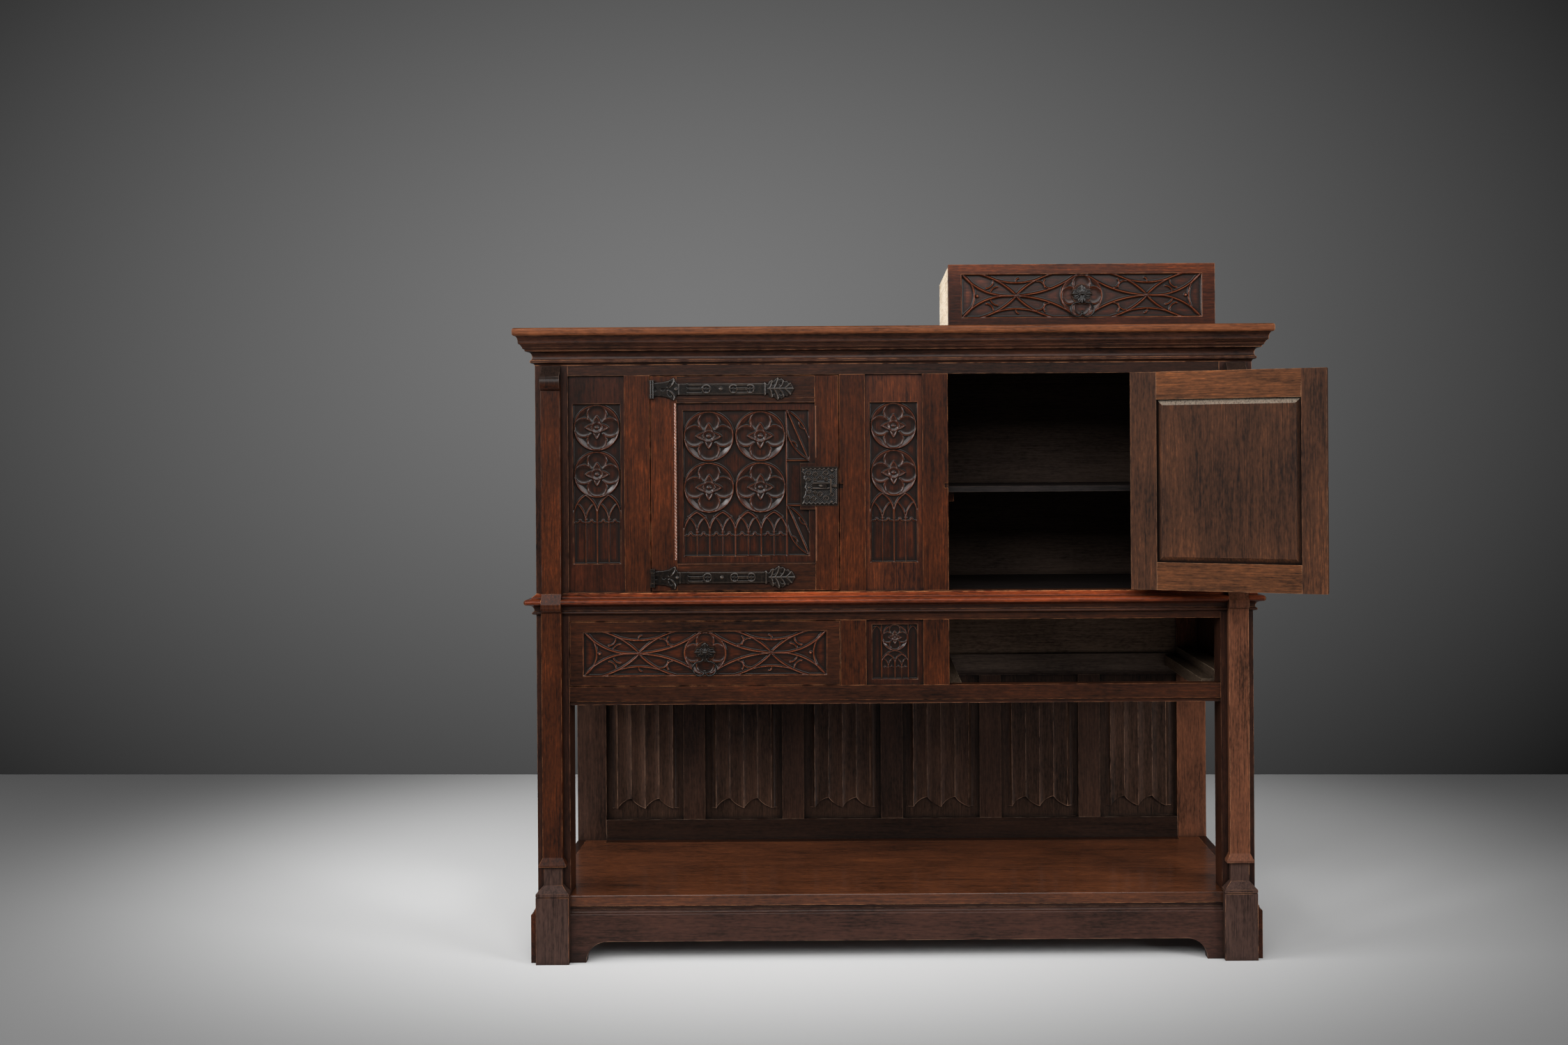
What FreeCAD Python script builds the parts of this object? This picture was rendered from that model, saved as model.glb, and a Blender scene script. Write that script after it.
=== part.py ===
"""Gothic revival oak court cupboard: two carved doors over two drawers, on an open
stand with a linenfold back and a pot board. Millimetres, +Z up, +X to the right as
one faces it, -Y towards the viewer, origin on the floor in the middle of the frame.
The right door stands open and the right drawer stands on the top."""
import FreeCAD
import Part
import Sketcher
import math
import os
from types import SimpleNamespace

from FreeCAD import Placement, Rotation, Vector

# Driving sizes, in millimetres and degrees

SIZES = {
    # the frame as a whole
    "frame_width": 1525.0,
    "frame_depth": 495.0,
    "post_width": 69.5,
    "front_post_depth": 60.0,
    "rear_post_depth": 30.0,
    "front_rail_thickness": 26.0,
    "side_rail_thickness": 25.0,
    "back_rail_thickness": 22.0,
    "rear_frame_thickness": 25.0,
    # levels, from the floor up
    "pot_board_level": 142.0,
    "lower_rail_level": 543.5,
    "lower_rail_height": 39.5,
    "drawer_opening_height": 139.0,
    "waist_rail_height": 62.0,
    "door_opening_height": 461.0,
    "top_rail_height": 83.0,
    "top_thickness": 17.0,
    # the front, from the middle outwards
    "centre_panel_width": 122.0,
    "stile_width": 54.5,
    "outer_panel_width": 119.5,
    # the top board and the mouldings
    "top_front_overhang": 41.0,
    "top_side_overhang": 40.0,
    "top_edge_radius": 5.0,
    "cornice_projection": 34.0,
    "cornice_height": 61.0,
    "waist_moulding_projection": 20.0,
    "waist_moulding_height": 46.0,
    "rail_bead_height": 8.0,
    "rail_bead_depth": 4.0,
    # the buttresses on the front posts
    "upper_shaft_width": 41.0,
    "upper_shaft_projection": 14.0,
    "lower_shaft_width": 42.0,
    "lower_shaft_projection": 18.0,
    "short_shaft_width": 39.0,
    "short_shaft_projection": 15.0,
    "offset_projection": 25.0,
    "offset_lip": 6.0,
    "offset_slope_height": 22.0,
    "offset_cove_height": 24.0,
    "offset_drop": 2.0,
    "block_projection": 28.0,
    "block_height": 149.0,
    "block_lip_height": 6.0,
    "block_neck_height": 2.0,
    "block_neck_inset": 1.5,
    "block_slope_height": 16.0,
    "collar_width": 58.0,
    "collar_projection": 23.0,
    "collar_level": 205.0,
    "collar_lip": 4.0,
    "collar_slope_height": 15.0,
    # the panels
    "panel_setback": 7.0,
    "panel_thickness": 12.0,
    "carved_field_width": 103.0,
    "carved_field_height": 342.0,
    "carved_field_depth": 5.0,
    "small_field_width": 98.0,
    "small_field_height": 118.0,
    # the back and the linenfold frame
    "back_muntin_width": 60.0,
    "back_panel_thickness": 10.0,
    "rear_bottom_rail_height": 49.0,
    "rear_top_rail_height": 50.0,
    "rear_muntin_width": 52.5,
    "linenfold_board_thickness": 8.0,
    "linenfold_relief": 8.0,
    "linenfold_crest_setback": 4.0,
    "linenfold_end_margin": 26.0,
    "linenfold_notch_rise": 24.0,
    # inside the case
    "floor_thickness": 16.0,
    "floor_drop": 3.0,
    "partition_thickness": 18.0,
    "shelf_level": 1004.0,
    "shelf_thickness": 12.0,
    "shelf_setback": 10.0,
    "cleat_width": 18.0,
    "cleat_height": 22.0,
    "cleat_setback": 70.0,
    "runner_tread": 28.0,
    "runner_bearer": 44.5,
    "runner_height": 25.0,
    "guide_height": 20.0,
    # the stand
    "pot_board_thickness": 24.0,
    "pot_board_nosing": 8.0,
    "nosing_radius": 4.0,
    "base_rail_height": 46.0,
    "base_side_rail_thickness": 20.0,
    "base_rear_border": 27.0,
    "ledge_width": 12.0,
    "plinth_height": 118.0,
    "plinth_moulding_height": 22.0,
    "plinth_projection": 13.0,
    "plinth_back_thickness": 11.0,
    "apron_height": 44.0,
    "foot_length": 34.0,
    "foot_sweep": 42.0,
    # the doors
    "door_gap": 2.0,
    "door_thickness": 24.0,
    "door_hinge_stile_width": 55.0,
    "door_lock_stile_width": 50.0,
    "door_top_rail_height": 58.0,
    "door_bottom_rail_height": 58.0,
    "door_panel_setback": 6.0,
    "door_panel_front": 9.0,
    "door_panel_bevel": 12.0,
    "door_panel_raise": 7.0,
    "tongue_length": 8.0,
    "tongue_thickness": 7.0,
    "tongue_setback": 8.0,
    "door_field_width": 270.0,
    "door_field_height": 312.0,
    "door_field_depth": 4.0,
    "lock_block_width": 32.0,
    "lock_block_height": 98.0,
    "open_angle": 157.5,
    # hinges and locks
    "pin_inset": 6.0,
    "pin_stand": 5.5,
    "pin_radius": 2.5,
    "pin_clearance": 0.05,
    "knuckle_radius": 5.0,
    "knuckle_height": 22.0,
    "eye_height": 8.0,
    "eye_gap": 0.3,
    "pintle_plate_thickness": 1.6,
    "pintle_plate_depth": 18.0,
    "pintle_bridge": 3.0,
    "strap_thickness": 2.5,
    "strap_length": 303.0,
    "strap_width": 22.0,
    "strap_butt_length": 53.0,
    "strap_butt_height": 48.0,
    "strap_tip_length": 62.0,
    "strap_tip_height": 44.0,
    "strap_inset": 30.0,
    "lock_level": 1007.0,
    "lock_plate_width": 78.0,
    "lock_plate_height": 82.0,
    "lock_plate_thickness": 2.0,
    "lock_plate_inset": 2.0,
    "bolt_length": 45.0,
    "bolt_height": 9.6,
    "bolt_thickness": 4.5,
    "bolt_clearance": 0.2,
    "bolt_play": 1.0,
    "bolt_set": 0.5,
    "bolt_travel": 8.0,
    "bolt_knob_radius": 4.0,
    "bolt_knob_reach": 8.0,
    "bolt_knob_place": 30.0,
    # the drawers
    "drawer_gap": 1.5,
    "drawer_running_gap": 0.3,
    "drawer_back_room": 73.0,
    "drawer_front_thickness": 22.0,
    "drawer_side_thickness": 12.0,
    "drawer_side_inset": 1.0,
    "drawer_side_drop": 8.0,
    "drawer_bottom_thickness": 6.0,
    "drawer_bottom_rise": 8.0,
    "drawer_field_width": 519.0,
    "drawer_field_height": 94.0,
    "drawer_field_depth": 5.0,
    "pull_boss_radius": 22.0,
    "pull_level": 72.0,
    "pull_plate_width": 46.0,
    "pull_plate_height": 40.0,
    "pull_plate_thickness": 2.0,
    "pull_stand": 9.0,
    "pull_pin_radius": 1.5,
    "pull_ear_thickness": 3.0,
    "pull_ear_height": 8.0,
    "bail_knuckle_length": 8.0,
    "bail_knuckle_radius": 4.0,
    "bail_side_gap": 0.4,
    "bail_wire_radius": 1.9,
    "bail_arm_offset": 2.2,
    "bail_arm_drop": 9.0,
    "bail_neck_radius": 8.0,
    "bail_lobe_radius": 15.0,
    "bail_drop_radius": 3.2,
    "parked_offset": 4.0,
    "parked_setback": 43.0,
    # how far a cut runs past the face that it opens
    "overrun": 5.0,
}

# Outlines, as shares of the width and the height of what they shape. A third number
# bends the line that leads to the corner: it is the rise of the arc over its chord.

# out from the wall, up from the underside
CORNICE_SHARES = (
    (0, 0),
    (0.09, 0.09),
    (0.26, 0.11, -0.2),
    (0.26, 0.18),
    (0.20, 0.19),
    (0.31, 0.47, 0.22),
    (0.52, 0.49),
    (0.54, 0.55),
    (0.66, 0.62, -0.2),
    (0.78, 0.72),
    (0.86, 0.75, -0.2),
    (0.88, 0.78),
    (1, 1, 0.1),
    (0, 1),
)
WAIST_SHARES = (
    (0, 0),
    (0.30, 0.05),
    (0.30, 0.17, -0.35),
    (0.20, 0.19),
    (0.62, 0.46, 0.22),
    (0.92, 0.49),
    (0.92, 0.74, -0.42),
    (0.42, 0.77),
    (0.34, 0.86, -0.2),
    (0.10, 0.94),
    (0, 1),
)
PLINTH_SHARES = (
    (1, 0),
    (1, 0.10),
    (0.70, 0.36, -0.25),
    (0.56, 0.38),
    (0.50, 0.70, 0.15),
    (0.30, 0.74),
    (0.10, 1, -0.2),
    (0, 1),
)
# the bends of single arcs elsewhere
BEAD_BEND = 0.2
COVE_BEND = -0.2
FOOT_BEND = -0.2
# across the panel, up the relief
LINENFOLD_CREST_SHARES = (-0.36, -0.18, 0.0, 0.18, 0.36)
LINENFOLD_EDGE_SHARE = 0.45
LINENFOLD_FLUTE_BULGE = 0.13
LINENFOLD_OGEE_BULGE = 0.10
# along each part of the strap, up its half height: butt end and leaf tip
STRAP_BUTT_SHARES = ((0.12, 0.60), (0.62, 0.66), (0.86, 1.0), (0.90, 0.78), (0.98, 0.62))
STRAP_TIP_SHARES = (
    (0.06, 0.34),
    (0.14, 0.78),
    (0.24, 0.60),
    (0.46, 1.0),
    (0.54, 0.62),
    (0.72, 0.70),
    (0.80, 0.34),
)
# across and up from the middle of the pull's back plate, for its upper right quarter
PULL_PLATE_SHARES = ((1.0, 0.0), (0.62, 0.22), (0.86, 0.46), (0.42, 0.52), (0.30, 0.80), (0.0, 1.0))

DOCUMENT = FreeCAD.newDocument("CourtCupboard")
SHEET = DOCUMENT.addObject("Spreadsheet::Sheet", "Sizes")
for row, (alias, value) in enumerate(SIZES.items(), start=1):
    SHEET.set(f"A{row}", alias)
    SHEET.set(f"B{row}", str(value))
    SHEET.setAlias(f"B{row}", alias)
DOCUMENT.recompute()


class Size:
    """A size worked out from the sheet: its value and the expression that gives it."""

    def __init__(self, value, text):
        self.value = value
        self.text = text

    def __add__(self, other):
        other = as_size(other)
        return Size(self.value + other.value, f"({self.text} + {other.text})")

    def __sub__(self, other):
        other = as_size(other)
        return Size(self.value - other.value, f"({self.text} - {other.text})")

    def __mul__(self, other):
        other = as_size(other)
        return Size(self.value * other.value, f"({self.text} * {other.text})")

    def __truediv__(self, other):
        other = as_size(other)
        return Size(self.value / other.value, f"({self.text} / {other.text})")

    def __neg__(self):
        return Size(-self.value, f"(0 - {self.text})")

    __radd__ = __add__
    __rmul__ = __mul__


def as_size(value):
    """A plain number as a size."""
    return value if isinstance(value, Size) else Size(float(value), f"({float(value)!r})")


size = SimpleNamespace(**{name: Size(value, f"Sizes.{name}") for name, value in SIZES.items()})
ZERO = as_size(0)
NODES = {}


# Helpers: boards, outlines, pads, pockets and lofts whose sizes follow the sheet


def name_node(label, item):
    """Keep a finished piece under the name of its file."""
    item.Label = label
    NODES[label] = item
    return item


def new_board(label, x, y, z):
    """A squared piece of wood between two places along each axis."""
    box = DOCUMENT.addObject("Part::Box", label)
    for side, base, (low, high) in (("Length", "x", x), ("Width", "y", y), ("Height", "z", z)):
        low, high = as_size(low), as_size(high)
        box.setExpression(side, (high - low).text)
        box.setExpression(f"Placement.Base.{base}", low.text)
    return box


def board(label, x, y, z):
    return name_node(label, new_board(label, x, y, z))


def group(label, members):
    """Alike or kindred pieces that share one file as separate solids."""
    compound = DOCUMENT.addObject("Part::Compound", label)
    compound.Links = members
    return name_node(label, compound)


def span(sign, near, far):
    """The stretch between two distances from the middle, on the side that sign gives."""
    return (near, far) if sign > 0 else (-far, -near)


def mirrored(corners, sign):
    """An outline for the side that sign gives: on the left it is turned over."""
    if sign > 0:
        return corners
    return [(-as_size(c[0]), c[1], *[-bulge for bulge in c[2:]]) for c in corners]


def rectangle(x, y):
    return [(x[0], y[0]), (x[1], y[0]), (x[1], y[1]), (x[0], y[1])]


def new_sketch(body, plane, start, corners, circles=()):
    """A sketch on one of the body's own planes, moved along that plane's axis to start.

    Every corner's place is held by an expression, and so is the radius of every arc."""
    face = next(f for f in body.Origin.OriginFeatures if f.Role == f"{plane}_Plane")
    sketch = body.newObject("Sketcher::SketchObject", f"{body.Name}Sketch")
    sketch.AttachmentSupport = [(face, "")]
    sketch.MapMode = "FlatFace"
    start = as_size(start)
    offset = -start if plane == "XZ" else start
    sketch.setExpression("AttachmentOffset.Base.z", offset.text)
    corners = [(as_size(c[0]), as_size(c[1]), *c[2:]) for c in corners]
    points = [Vector(c[0].value, c[1].value, 0) for c in corners]
    lines, radii = [], []
    for index, start_point in enumerate(points):
        following = corners[(index + 1) % len(corners)]
        end_point = points[(index + 1) % len(points)]
        bulge = following[2] if len(following) > 2 else 0
        if not bulge:
            lines.append(Part.LineSegment(start_point, end_point))
            continue
        chord = end_point - start_point
        middle = (start_point + end_point) * 0.5 + Vector(-chord.y, chord.x, 0) * bulge
        lines.append(Part.Arc(start_point, middle, end_point))
        share = (1 + 4 * bulge * bulge) / (8 * abs(bulge))
        across = following[0] - corners[index][0]
        upward = following[1] - corners[index][1]
        text = f"sqrt({(across * across + upward * upward).text}) * {share!r}"
        radii.append((index, chord.Length * share, text))
    sketch.addGeometry(lines)
    ends = []
    for index, point in enumerate(points):
        first = 1 if (sketch.getPoint(index, 1) - point).Length < 1e-6 else 2
        ends.append((first, 3 - first))
    rules, texts = [], {}
    for index in range(len(points)):
        following = (index + 1) % len(points)
        rules.append(Sketcher.Constraint("Coincident", index, ends[index][1], following, ends[following][0]))
    for index, corner in enumerate(corners):
        for kind, place in (("DistanceX", corner[0]), ("DistanceY", corner[1])):
            texts[len(rules)] = place.text
            rules.append(Sketcher.Constraint(kind, index, ends[index][0], place.value))
    for index, radius, text in radii:
        texts[len(rules)] = text
        rules.append(Sketcher.Constraint("Radius", index, radius))
    for across, upward, radius in circles:
        index = sketch.GeometryCount
        sketch.addGeometry(Part.Circle(Vector(across.value, upward.value, 0), Vector(0, 0, 1), radius.value))
        for rule, place in (
            (Sketcher.Constraint("DistanceX", index, 3, across.value), across),
            (Sketcher.Constraint("DistanceY", index, 3, upward.value), upward),
            (Sketcher.Constraint("Radius", index, radius.value), radius),
        ):
            texts[len(rules)] = place.text
            rules.append(rule)
    sketch.addConstraint(rules)
    for index, text in texts.items():
        sketch.setExpression(f"Constraints[{index}]", text)
    return sketch


def new_body(label):
    return DOCUMENT.addObject("PartDesign::Body", label)


def add_pad(body, plane, start, end, corners, circles=()):
    """Fill an outline between two places along the axis that stands on its plane."""
    pad = body.newObject("PartDesign::Pad", f"{body.Name}Pad")
    pad.Profile = new_sketch(body, plane, start, corners, circles)
    pad.setExpression("Length", (as_size(end) - as_size(start)).text)
    pad.Reversed = plane == "XZ"
    body.Tip = pad
    return pad


def cut_pocket(body, plane, start, end, corners, circles=()):
    """Cut an outline out between two places along the axis that stands on its plane."""
    pocket = body.newObject("PartDesign::Pocket", f"{body.Name}Pocket")
    pocket.Profile = new_sketch(body, plane, start, corners, circles)
    pocket.setExpression("Length", (as_size(end) - as_size(start)).text)
    pocket.Reversed = plane != "XZ"
    body.Tip = pocket
    return pocket


def add_loft(body, plane, sections):
    """Join outlines at several places along one axis with flat faces."""
    sketches = [new_sketch(body, plane, start, corners) for start, corners in sections]
    loft = body.newObject("PartDesign::AdditiveLoft", f"{body.Name}Loft")
    loft.Profile = sketches[0]
    loft.Sections = sketches[1:]
    loft.Ruled = True
    body.Tip = loft
    return loft


def padded(label, plane, start, end, corners):
    body = new_body(label)
    add_pad(body, plane, start, end, corners)
    return body


def round_edges(body, radius, wanted):
    """Round the edges whose middle point passes the test."""
    DOCUMENT.recompute()
    base = body.Tip
    shape = base.Shape
    names = [
        f"Edge{number}"
        for number, edge in enumerate(shape.Edges, start=1)
        if wanted(edge.valueAt((edge.FirstParameter + edge.LastParameter) / 2))
    ]
    fillet = body.newObject("PartDesign::Fillet", f"{body.Name}Fillet")
    fillet.Base = (base, names)
    fillet.setExpression("Radius", radius.text)
    body.Tip = fillet


# Places that several pieces share

half_width = size.frame_width / 2
post_inner = half_width - size.post_width
post_centre = half_width - size.post_width / 2
front = -size.frame_depth / 2
back = size.frame_depth / 2
rear_face = back - size.rear_post_depth
post_back = front + size.front_post_depth
rail_back = front + size.front_rail_thickness

drawer_sill = size.lower_rail_level + size.lower_rail_height
drawer_head = drawer_sill + size.drawer_opening_height
door_sill = drawer_head + size.waist_rail_height
door_head = door_sill + size.door_opening_height
top_underside = door_head + size.top_rail_height
case_top = top_underside + size.top_thickness

centre_half = size.centre_panel_width / 2
bay_inner = centre_half + size.stile_width
door_outer = post_inner - size.outer_panel_width - size.stile_width
door_opening_width = door_outer - bay_inner
bay_centre = (bay_inner + post_inner) / 2
bay_width = post_inner - bay_inner
side_inner = half_width - size.side_rail_thickness
SIDES = (("left", -1), ("right", 1))

# Posts, from the floor to the top board

for side, sign in SIDES:
    board(f"front_post_{side}", span(sign, post_inner, half_width), (front, post_back), (ZERO, top_underside))
    board(f"rear_post_{side}", span(sign, post_inner, half_width), (rear_face, back), (ZERO, top_underside))

# Top board, with its front and side edges rounded above and below

top_half = half_width + size.top_side_overhang
top_front = front - size.top_front_overhang
top_board = padded(
    "TopBoard", "XY", top_underside, case_top, rectangle((-top_half, top_half), (top_front, back))
)


def on_top_edge(point):
    flat = abs(point.z - case_top.value) < 1 or abs(point.z - top_underside.value) < 1
    return flat and point.y < back.value - 1


round_edges(top_board, size.top_edge_radius, on_top_edge)
name_node("top_board", top_board)

# Mouldings: each length is a moulded stick, cut at 45 degrees where it turns a corner


def front_stick(label, shares, base, height, projection, x, mitre_ends):
    """A length along the front, mitred at the ends whose sign is listed."""
    corners = [(front - projection * out, base + height * up, *bend) for out, up, *bend in shares]
    corners = [(c[0], c[1], *[-bulge for bulge in c[2:]]) for c in corners]
    body = padded(label, "YZ", x[0], x[1], corners)
    reach = projection + size.overrun
    for sign in mitre_ends:
        wedge = [
            (half_width, front),
            (half_width + reach, front - reach),
            (half_width + reach, front + size.overrun),
            (half_width, front + size.overrun),
        ]
        cut_pocket(body, "XY", base - size.overrun, base + height + size.overrun, mirrored(wedge, sign))
    return body


def side_stick(label, shares, base, height, projection, sign):
    """A length along one side, mitred at the front."""
    corners = [(half_width + projection * out, base + height * up, *bend) for out, up, *bend in shares]
    body = padded(label, "XZ", front - projection, back, mirrored(corners, sign))
    reach = projection + size.overrun
    wedge = [
        (half_width - size.overrun, front - reach),
        (half_width + reach, front - reach),
        (half_width, front),
        (half_width - size.overrun, front),
    ]
    cut_pocket(body, "XY", base - size.overrun, base + height + size.overrun, mirrored(wedge, sign))
    return body


cornice = (CORNICE_SHARES, top_underside - size.cornice_height, size.cornice_height, size.cornice_projection)
cornice_end = half_width + size.cornice_projection
group(
    "cornice_moulding",
    [
        front_stick("CorniceFront", *cornice, (-cornice_end, cornice_end), (-1, 1)),
        side_stick("CorniceLeft", *cornice, -1),
        side_stick("CorniceRight", *cornice, 1),
    ],
)

waist_base = door_sill - size.offset_drop - size.waist_moulding_height
waist = (WAIST_SHARES, waist_base, size.waist_moulding_height, size.waist_moulding_projection)
waist_end = half_width + size.waist_moulding_projection
shaft_inner = post_centre - size.lower_shaft_width / 2
shaft_outer = post_centre + size.lower_shaft_width / 2
group(
    "waist_moulding",
    [
        front_stick("WaistFront", *waist, (-shaft_inner, shaft_inner), ()),
        front_stick("WaistCornerLeft", *waist, (-waist_end, -shaft_outer), (-1,)),
        front_stick("WaistCornerRight", *waist, (shaft_outer, waist_end), (1,)),
        side_stick("WaistLeft", *waist, -1),
        side_stick("WaistRight", *waist, 1),
    ],
)

# Buttresses on the faces of the front posts

offset_top = door_sill - size.offset_drop
offset_nose = offset_top - size.offset_slope_height
offset_base = offset_nose - size.offset_lip - size.offset_cove_height / 2
cap_top = top_underside - size.cornice_height - size.block_neck_height
cap_nose = cap_top - size.offset_slope_height
cap_base = cap_nose - size.offset_lip - size.offset_cove_height
block_neck = size.block_height - size.block_lip_height - size.block_neck_height
block_lip = size.block_height - size.block_lip_height
block_slope_top = size.block_height + size.block_slope_height
collar_top = size.collar_level + size.collar_lip
collar_slope_top = collar_top + size.collar_slope_height


def footprint(centre, width, projection):
    return rectangle((centre - width / 2, centre + width / 2), (front - projection, front))


for side, sign in SIDES:
    centre = post_centre * sign
    upper_outline = [
        (front, offset_top),
        (front, cap_top),
        (front - size.block_neck_height, cap_top),
        (front - size.offset_projection, cap_nose),
        (front - size.offset_projection, cap_nose - size.offset_lip),
        (front - size.upper_shaft_projection, cap_base, COVE_BEND),
        (front - size.upper_shaft_projection, offset_top),
    ]
    upper_x = (centre - size.upper_shaft_width / 2, centre + size.upper_shaft_width / 2)
    upper = padded(f"UpperButtress{side.title()}", "YZ", *upper_x, upper_outline)
    name_node(f"upper_buttress_{side}", upper)

    lower = new_body(f"LowerButtress{side.title()}")
    block = footprint(centre, size.post_width, size.block_projection)
    neck = footprint(
        centre,
        size.post_width - size.block_neck_inset * 2,
        size.block_projection - size.block_neck_inset,
    )
    short = footprint(centre, size.short_shaft_width, size.short_shaft_projection)
    collar = footprint(centre, size.collar_width, size.collar_projection)
    shaft = footprint(centre, size.lower_shaft_width, size.lower_shaft_projection)
    add_pad(lower, "XY", ZERO, block_neck, block)
    add_pad(lower, "XY", block_neck, block_lip, neck)
    add_pad(lower, "XY", block_lip, size.block_height, block)
    add_loft(lower, "XY", [(size.block_height, block), (block_slope_top, short)])
    add_pad(lower, "XY", block_slope_top, size.collar_level, short)
    add_pad(lower, "XY", size.collar_level, collar_top, collar)
    add_loft(lower, "XY", [(collar_top, collar), (collar_slope_top, shaft)])
    lower_outline = [
        (front, collar_slope_top),
        (front, offset_top),
        (front - size.upper_shaft_projection, offset_top),
        (front - size.offset_projection, offset_nose),
        (front - size.offset_projection, offset_nose - size.offset_lip),
        (front - size.lower_shaft_projection, offset_base, COVE_BEND),
        (front - size.lower_shaft_projection, collar_slope_top),
    ]
    lower_x = (centre - size.lower_shaft_width / 2, centre + size.lower_shaft_width / 2)
    add_pad(lower, "YZ", *lower_x, lower_outline)
    name_node(f"lower_buttress_{side}", lower)

# Front frame: rails between the posts and stiles between the rails

front_x = (-post_inner, post_inner)
board("top_rail_front", front_x, (front, rail_back), (door_head, top_underside))
board("waist_rail_front", front_x, (front, rail_back), (drawer_head, door_sill))
lower_rail_outline = [
    (front, drawer_sill),
    (front, size.lower_rail_level + size.rail_bead_height),
    (front + size.rail_bead_depth, size.lower_rail_level, BEAD_BEND),
    (rail_back, size.lower_rail_level),
    (rail_back, drawer_sill),
]
name_node("lower_rail_front", padded("LowerRail", "YZ", *front_x, lower_rail_outline))

bolt_notch = size.bolt_thickness + size.bolt_clearance * 2
notch_half = size.bolt_height / 2 + size.bolt_clearance
upper_stiles = []
for side, sign in SIDES:
    outer = span(sign, door_outer, door_outer + size.stile_width)
    outer_z = (door_sill, door_head)
    upper_stiles.append(new_board(f"OuterStile{side.title()}", outer, (front, rail_back), outer_z))
    inner = padded(
        f"InnerStile{side.title()}",
        "XY",
        door_sill,
        door_head,
        rectangle(span(sign, centre_half, bay_inner), (front, rail_back)),
    )
    notch = rectangle(
        span(sign, bay_inner - size.bolt_travel, bay_inner + size.overrun),
        (size.lock_level - notch_half, size.lock_level + notch_half),
    )
    cut_pocket(inner, "XZ", front - size.overrun, front + bolt_notch, notch)
    upper_stiles.append(inner)
group("upper_stiles", upper_stiles)
group(
    "lower_stiles",
    [
        new_board(
            f"LowerStile{side.title()}",
            span(sign, centre_half, bay_inner),
            (front, rail_back),
            (drawer_sill, drawer_head),
        )
        for side, sign in SIDES
    ],
)

# Fixed front panels, each with its carved field sunk below the flat of the wood

panel_y = (front + size.panel_setback, front + size.panel_setback + size.panel_thickness)


def fixed_panel(label, x, z, field_width, field_height):
    body = padded(label.title().replace("_", ""), "XZ", *panel_y, rectangle(x, z))
    x_middle = (as_size(x[0]) + x[1]) / 2
    z_middle = (as_size(z[0]) + z[1]) / 2
    field = rectangle(
        (x_middle - field_width / 2, x_middle + field_width / 2),
        (z_middle - field_height / 2, z_middle + field_height / 2),
    )
    cut_pocket(body, "XZ", panel_y[0] - size.overrun, panel_y[0] + size.carved_field_depth, field)
    return name_node(label, body)


door_z = (door_sill, door_head)
field = (size.carved_field_width, size.carved_field_height)
outer_panel = (door_outer + size.stile_width, post_inner)
fixed_panel("narrow_panel_left", span(-1, *outer_panel), door_z, *field)
fixed_panel("narrow_panel_centre", (-centre_half, centre_half), door_z, *field)
fixed_panel("narrow_panel_right", span(1, *outer_panel), door_z, *field)
fixed_panel(
    "drawer_row_panel",
    (-centre_half, centre_half),
    (drawer_sill, drawer_head),
    size.small_field_width,
    size.small_field_height,
)

# Side frames: three rails and two panels on each side

side_y = (post_back, rear_face)
side_levels = {
    "Top": (door_head, top_underside),
    "Waist": (drawer_head, door_sill),
    "Lower": (size.lower_rail_level, drawer_sill),
}
side_panel_levels = {"Upper": (door_sill, door_head), "Drawer": (drawer_sill, drawer_head)}
side_panel_outer = half_width - size.panel_setback
side_rails, side_panels = [], []
for side, sign in SIDES:
    for name, levels in side_levels.items():
        label = f"Side{name}Rail{side.title()}"
        side_rails.append(new_board(label, span(sign, side_inner, half_width), side_y, levels))
    for name, levels in side_panel_levels.items():
        label = f"Side{name}Panel{side.title()}"
        panel_x = span(sign, side_panel_outer - size.panel_thickness, side_panel_outer)
        side_panels.append(new_board(label, panel_x, side_y, levels))
group("side_rails", side_rails)
group("side_panels", side_panels)

# Back of the case: rails, two muntins that take the partitions, and plain panels

back_y = (rear_face, rear_face + size.back_rail_thickness)
back_panel_y = (
    rear_face + size.panel_setback,
    rear_face + size.panel_setback + size.back_panel_thickness,
)
muntin_centre = bay_inner - size.partition_thickness / 2
muntin_near = muntin_centre - size.back_muntin_width / 2
muntin_far = muntin_centre + size.back_muntin_width / 2
drawer_back_sill = size.lower_rail_level + size.rail_bead_depth + size.lower_rail_height
group(
    "back_rails",
    [
        new_board("BackTopRail", front_x, back_y, (door_head, top_underside)),
        new_board("BackWaistRail", front_x, back_y, (drawer_head, door_sill)),
        new_board("BackMuntinLeft", span(-1, muntin_near, muntin_far), back_y, door_z),
        new_board("BackMuntinRight", span(1, muntin_near, muntin_far), back_y, door_z),
    ],
)
group(
    "back_panels",
    [
        new_board("BackPanelLeft", span(-1, muntin_far, post_inner), back_panel_y, door_z),
        new_board("BackPanelCentre", (-muntin_near, muntin_near), back_panel_y, door_z),
        new_board("BackPanelRight", span(1, muntin_far, post_inner), back_panel_y, door_z),
        new_board("BackDrawerPanel", front_x, back_panel_y, (drawer_back_sill, drawer_head)),
    ],
)

# Frame behind the stand: two rails, five muntins and six linenfold panels

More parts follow.
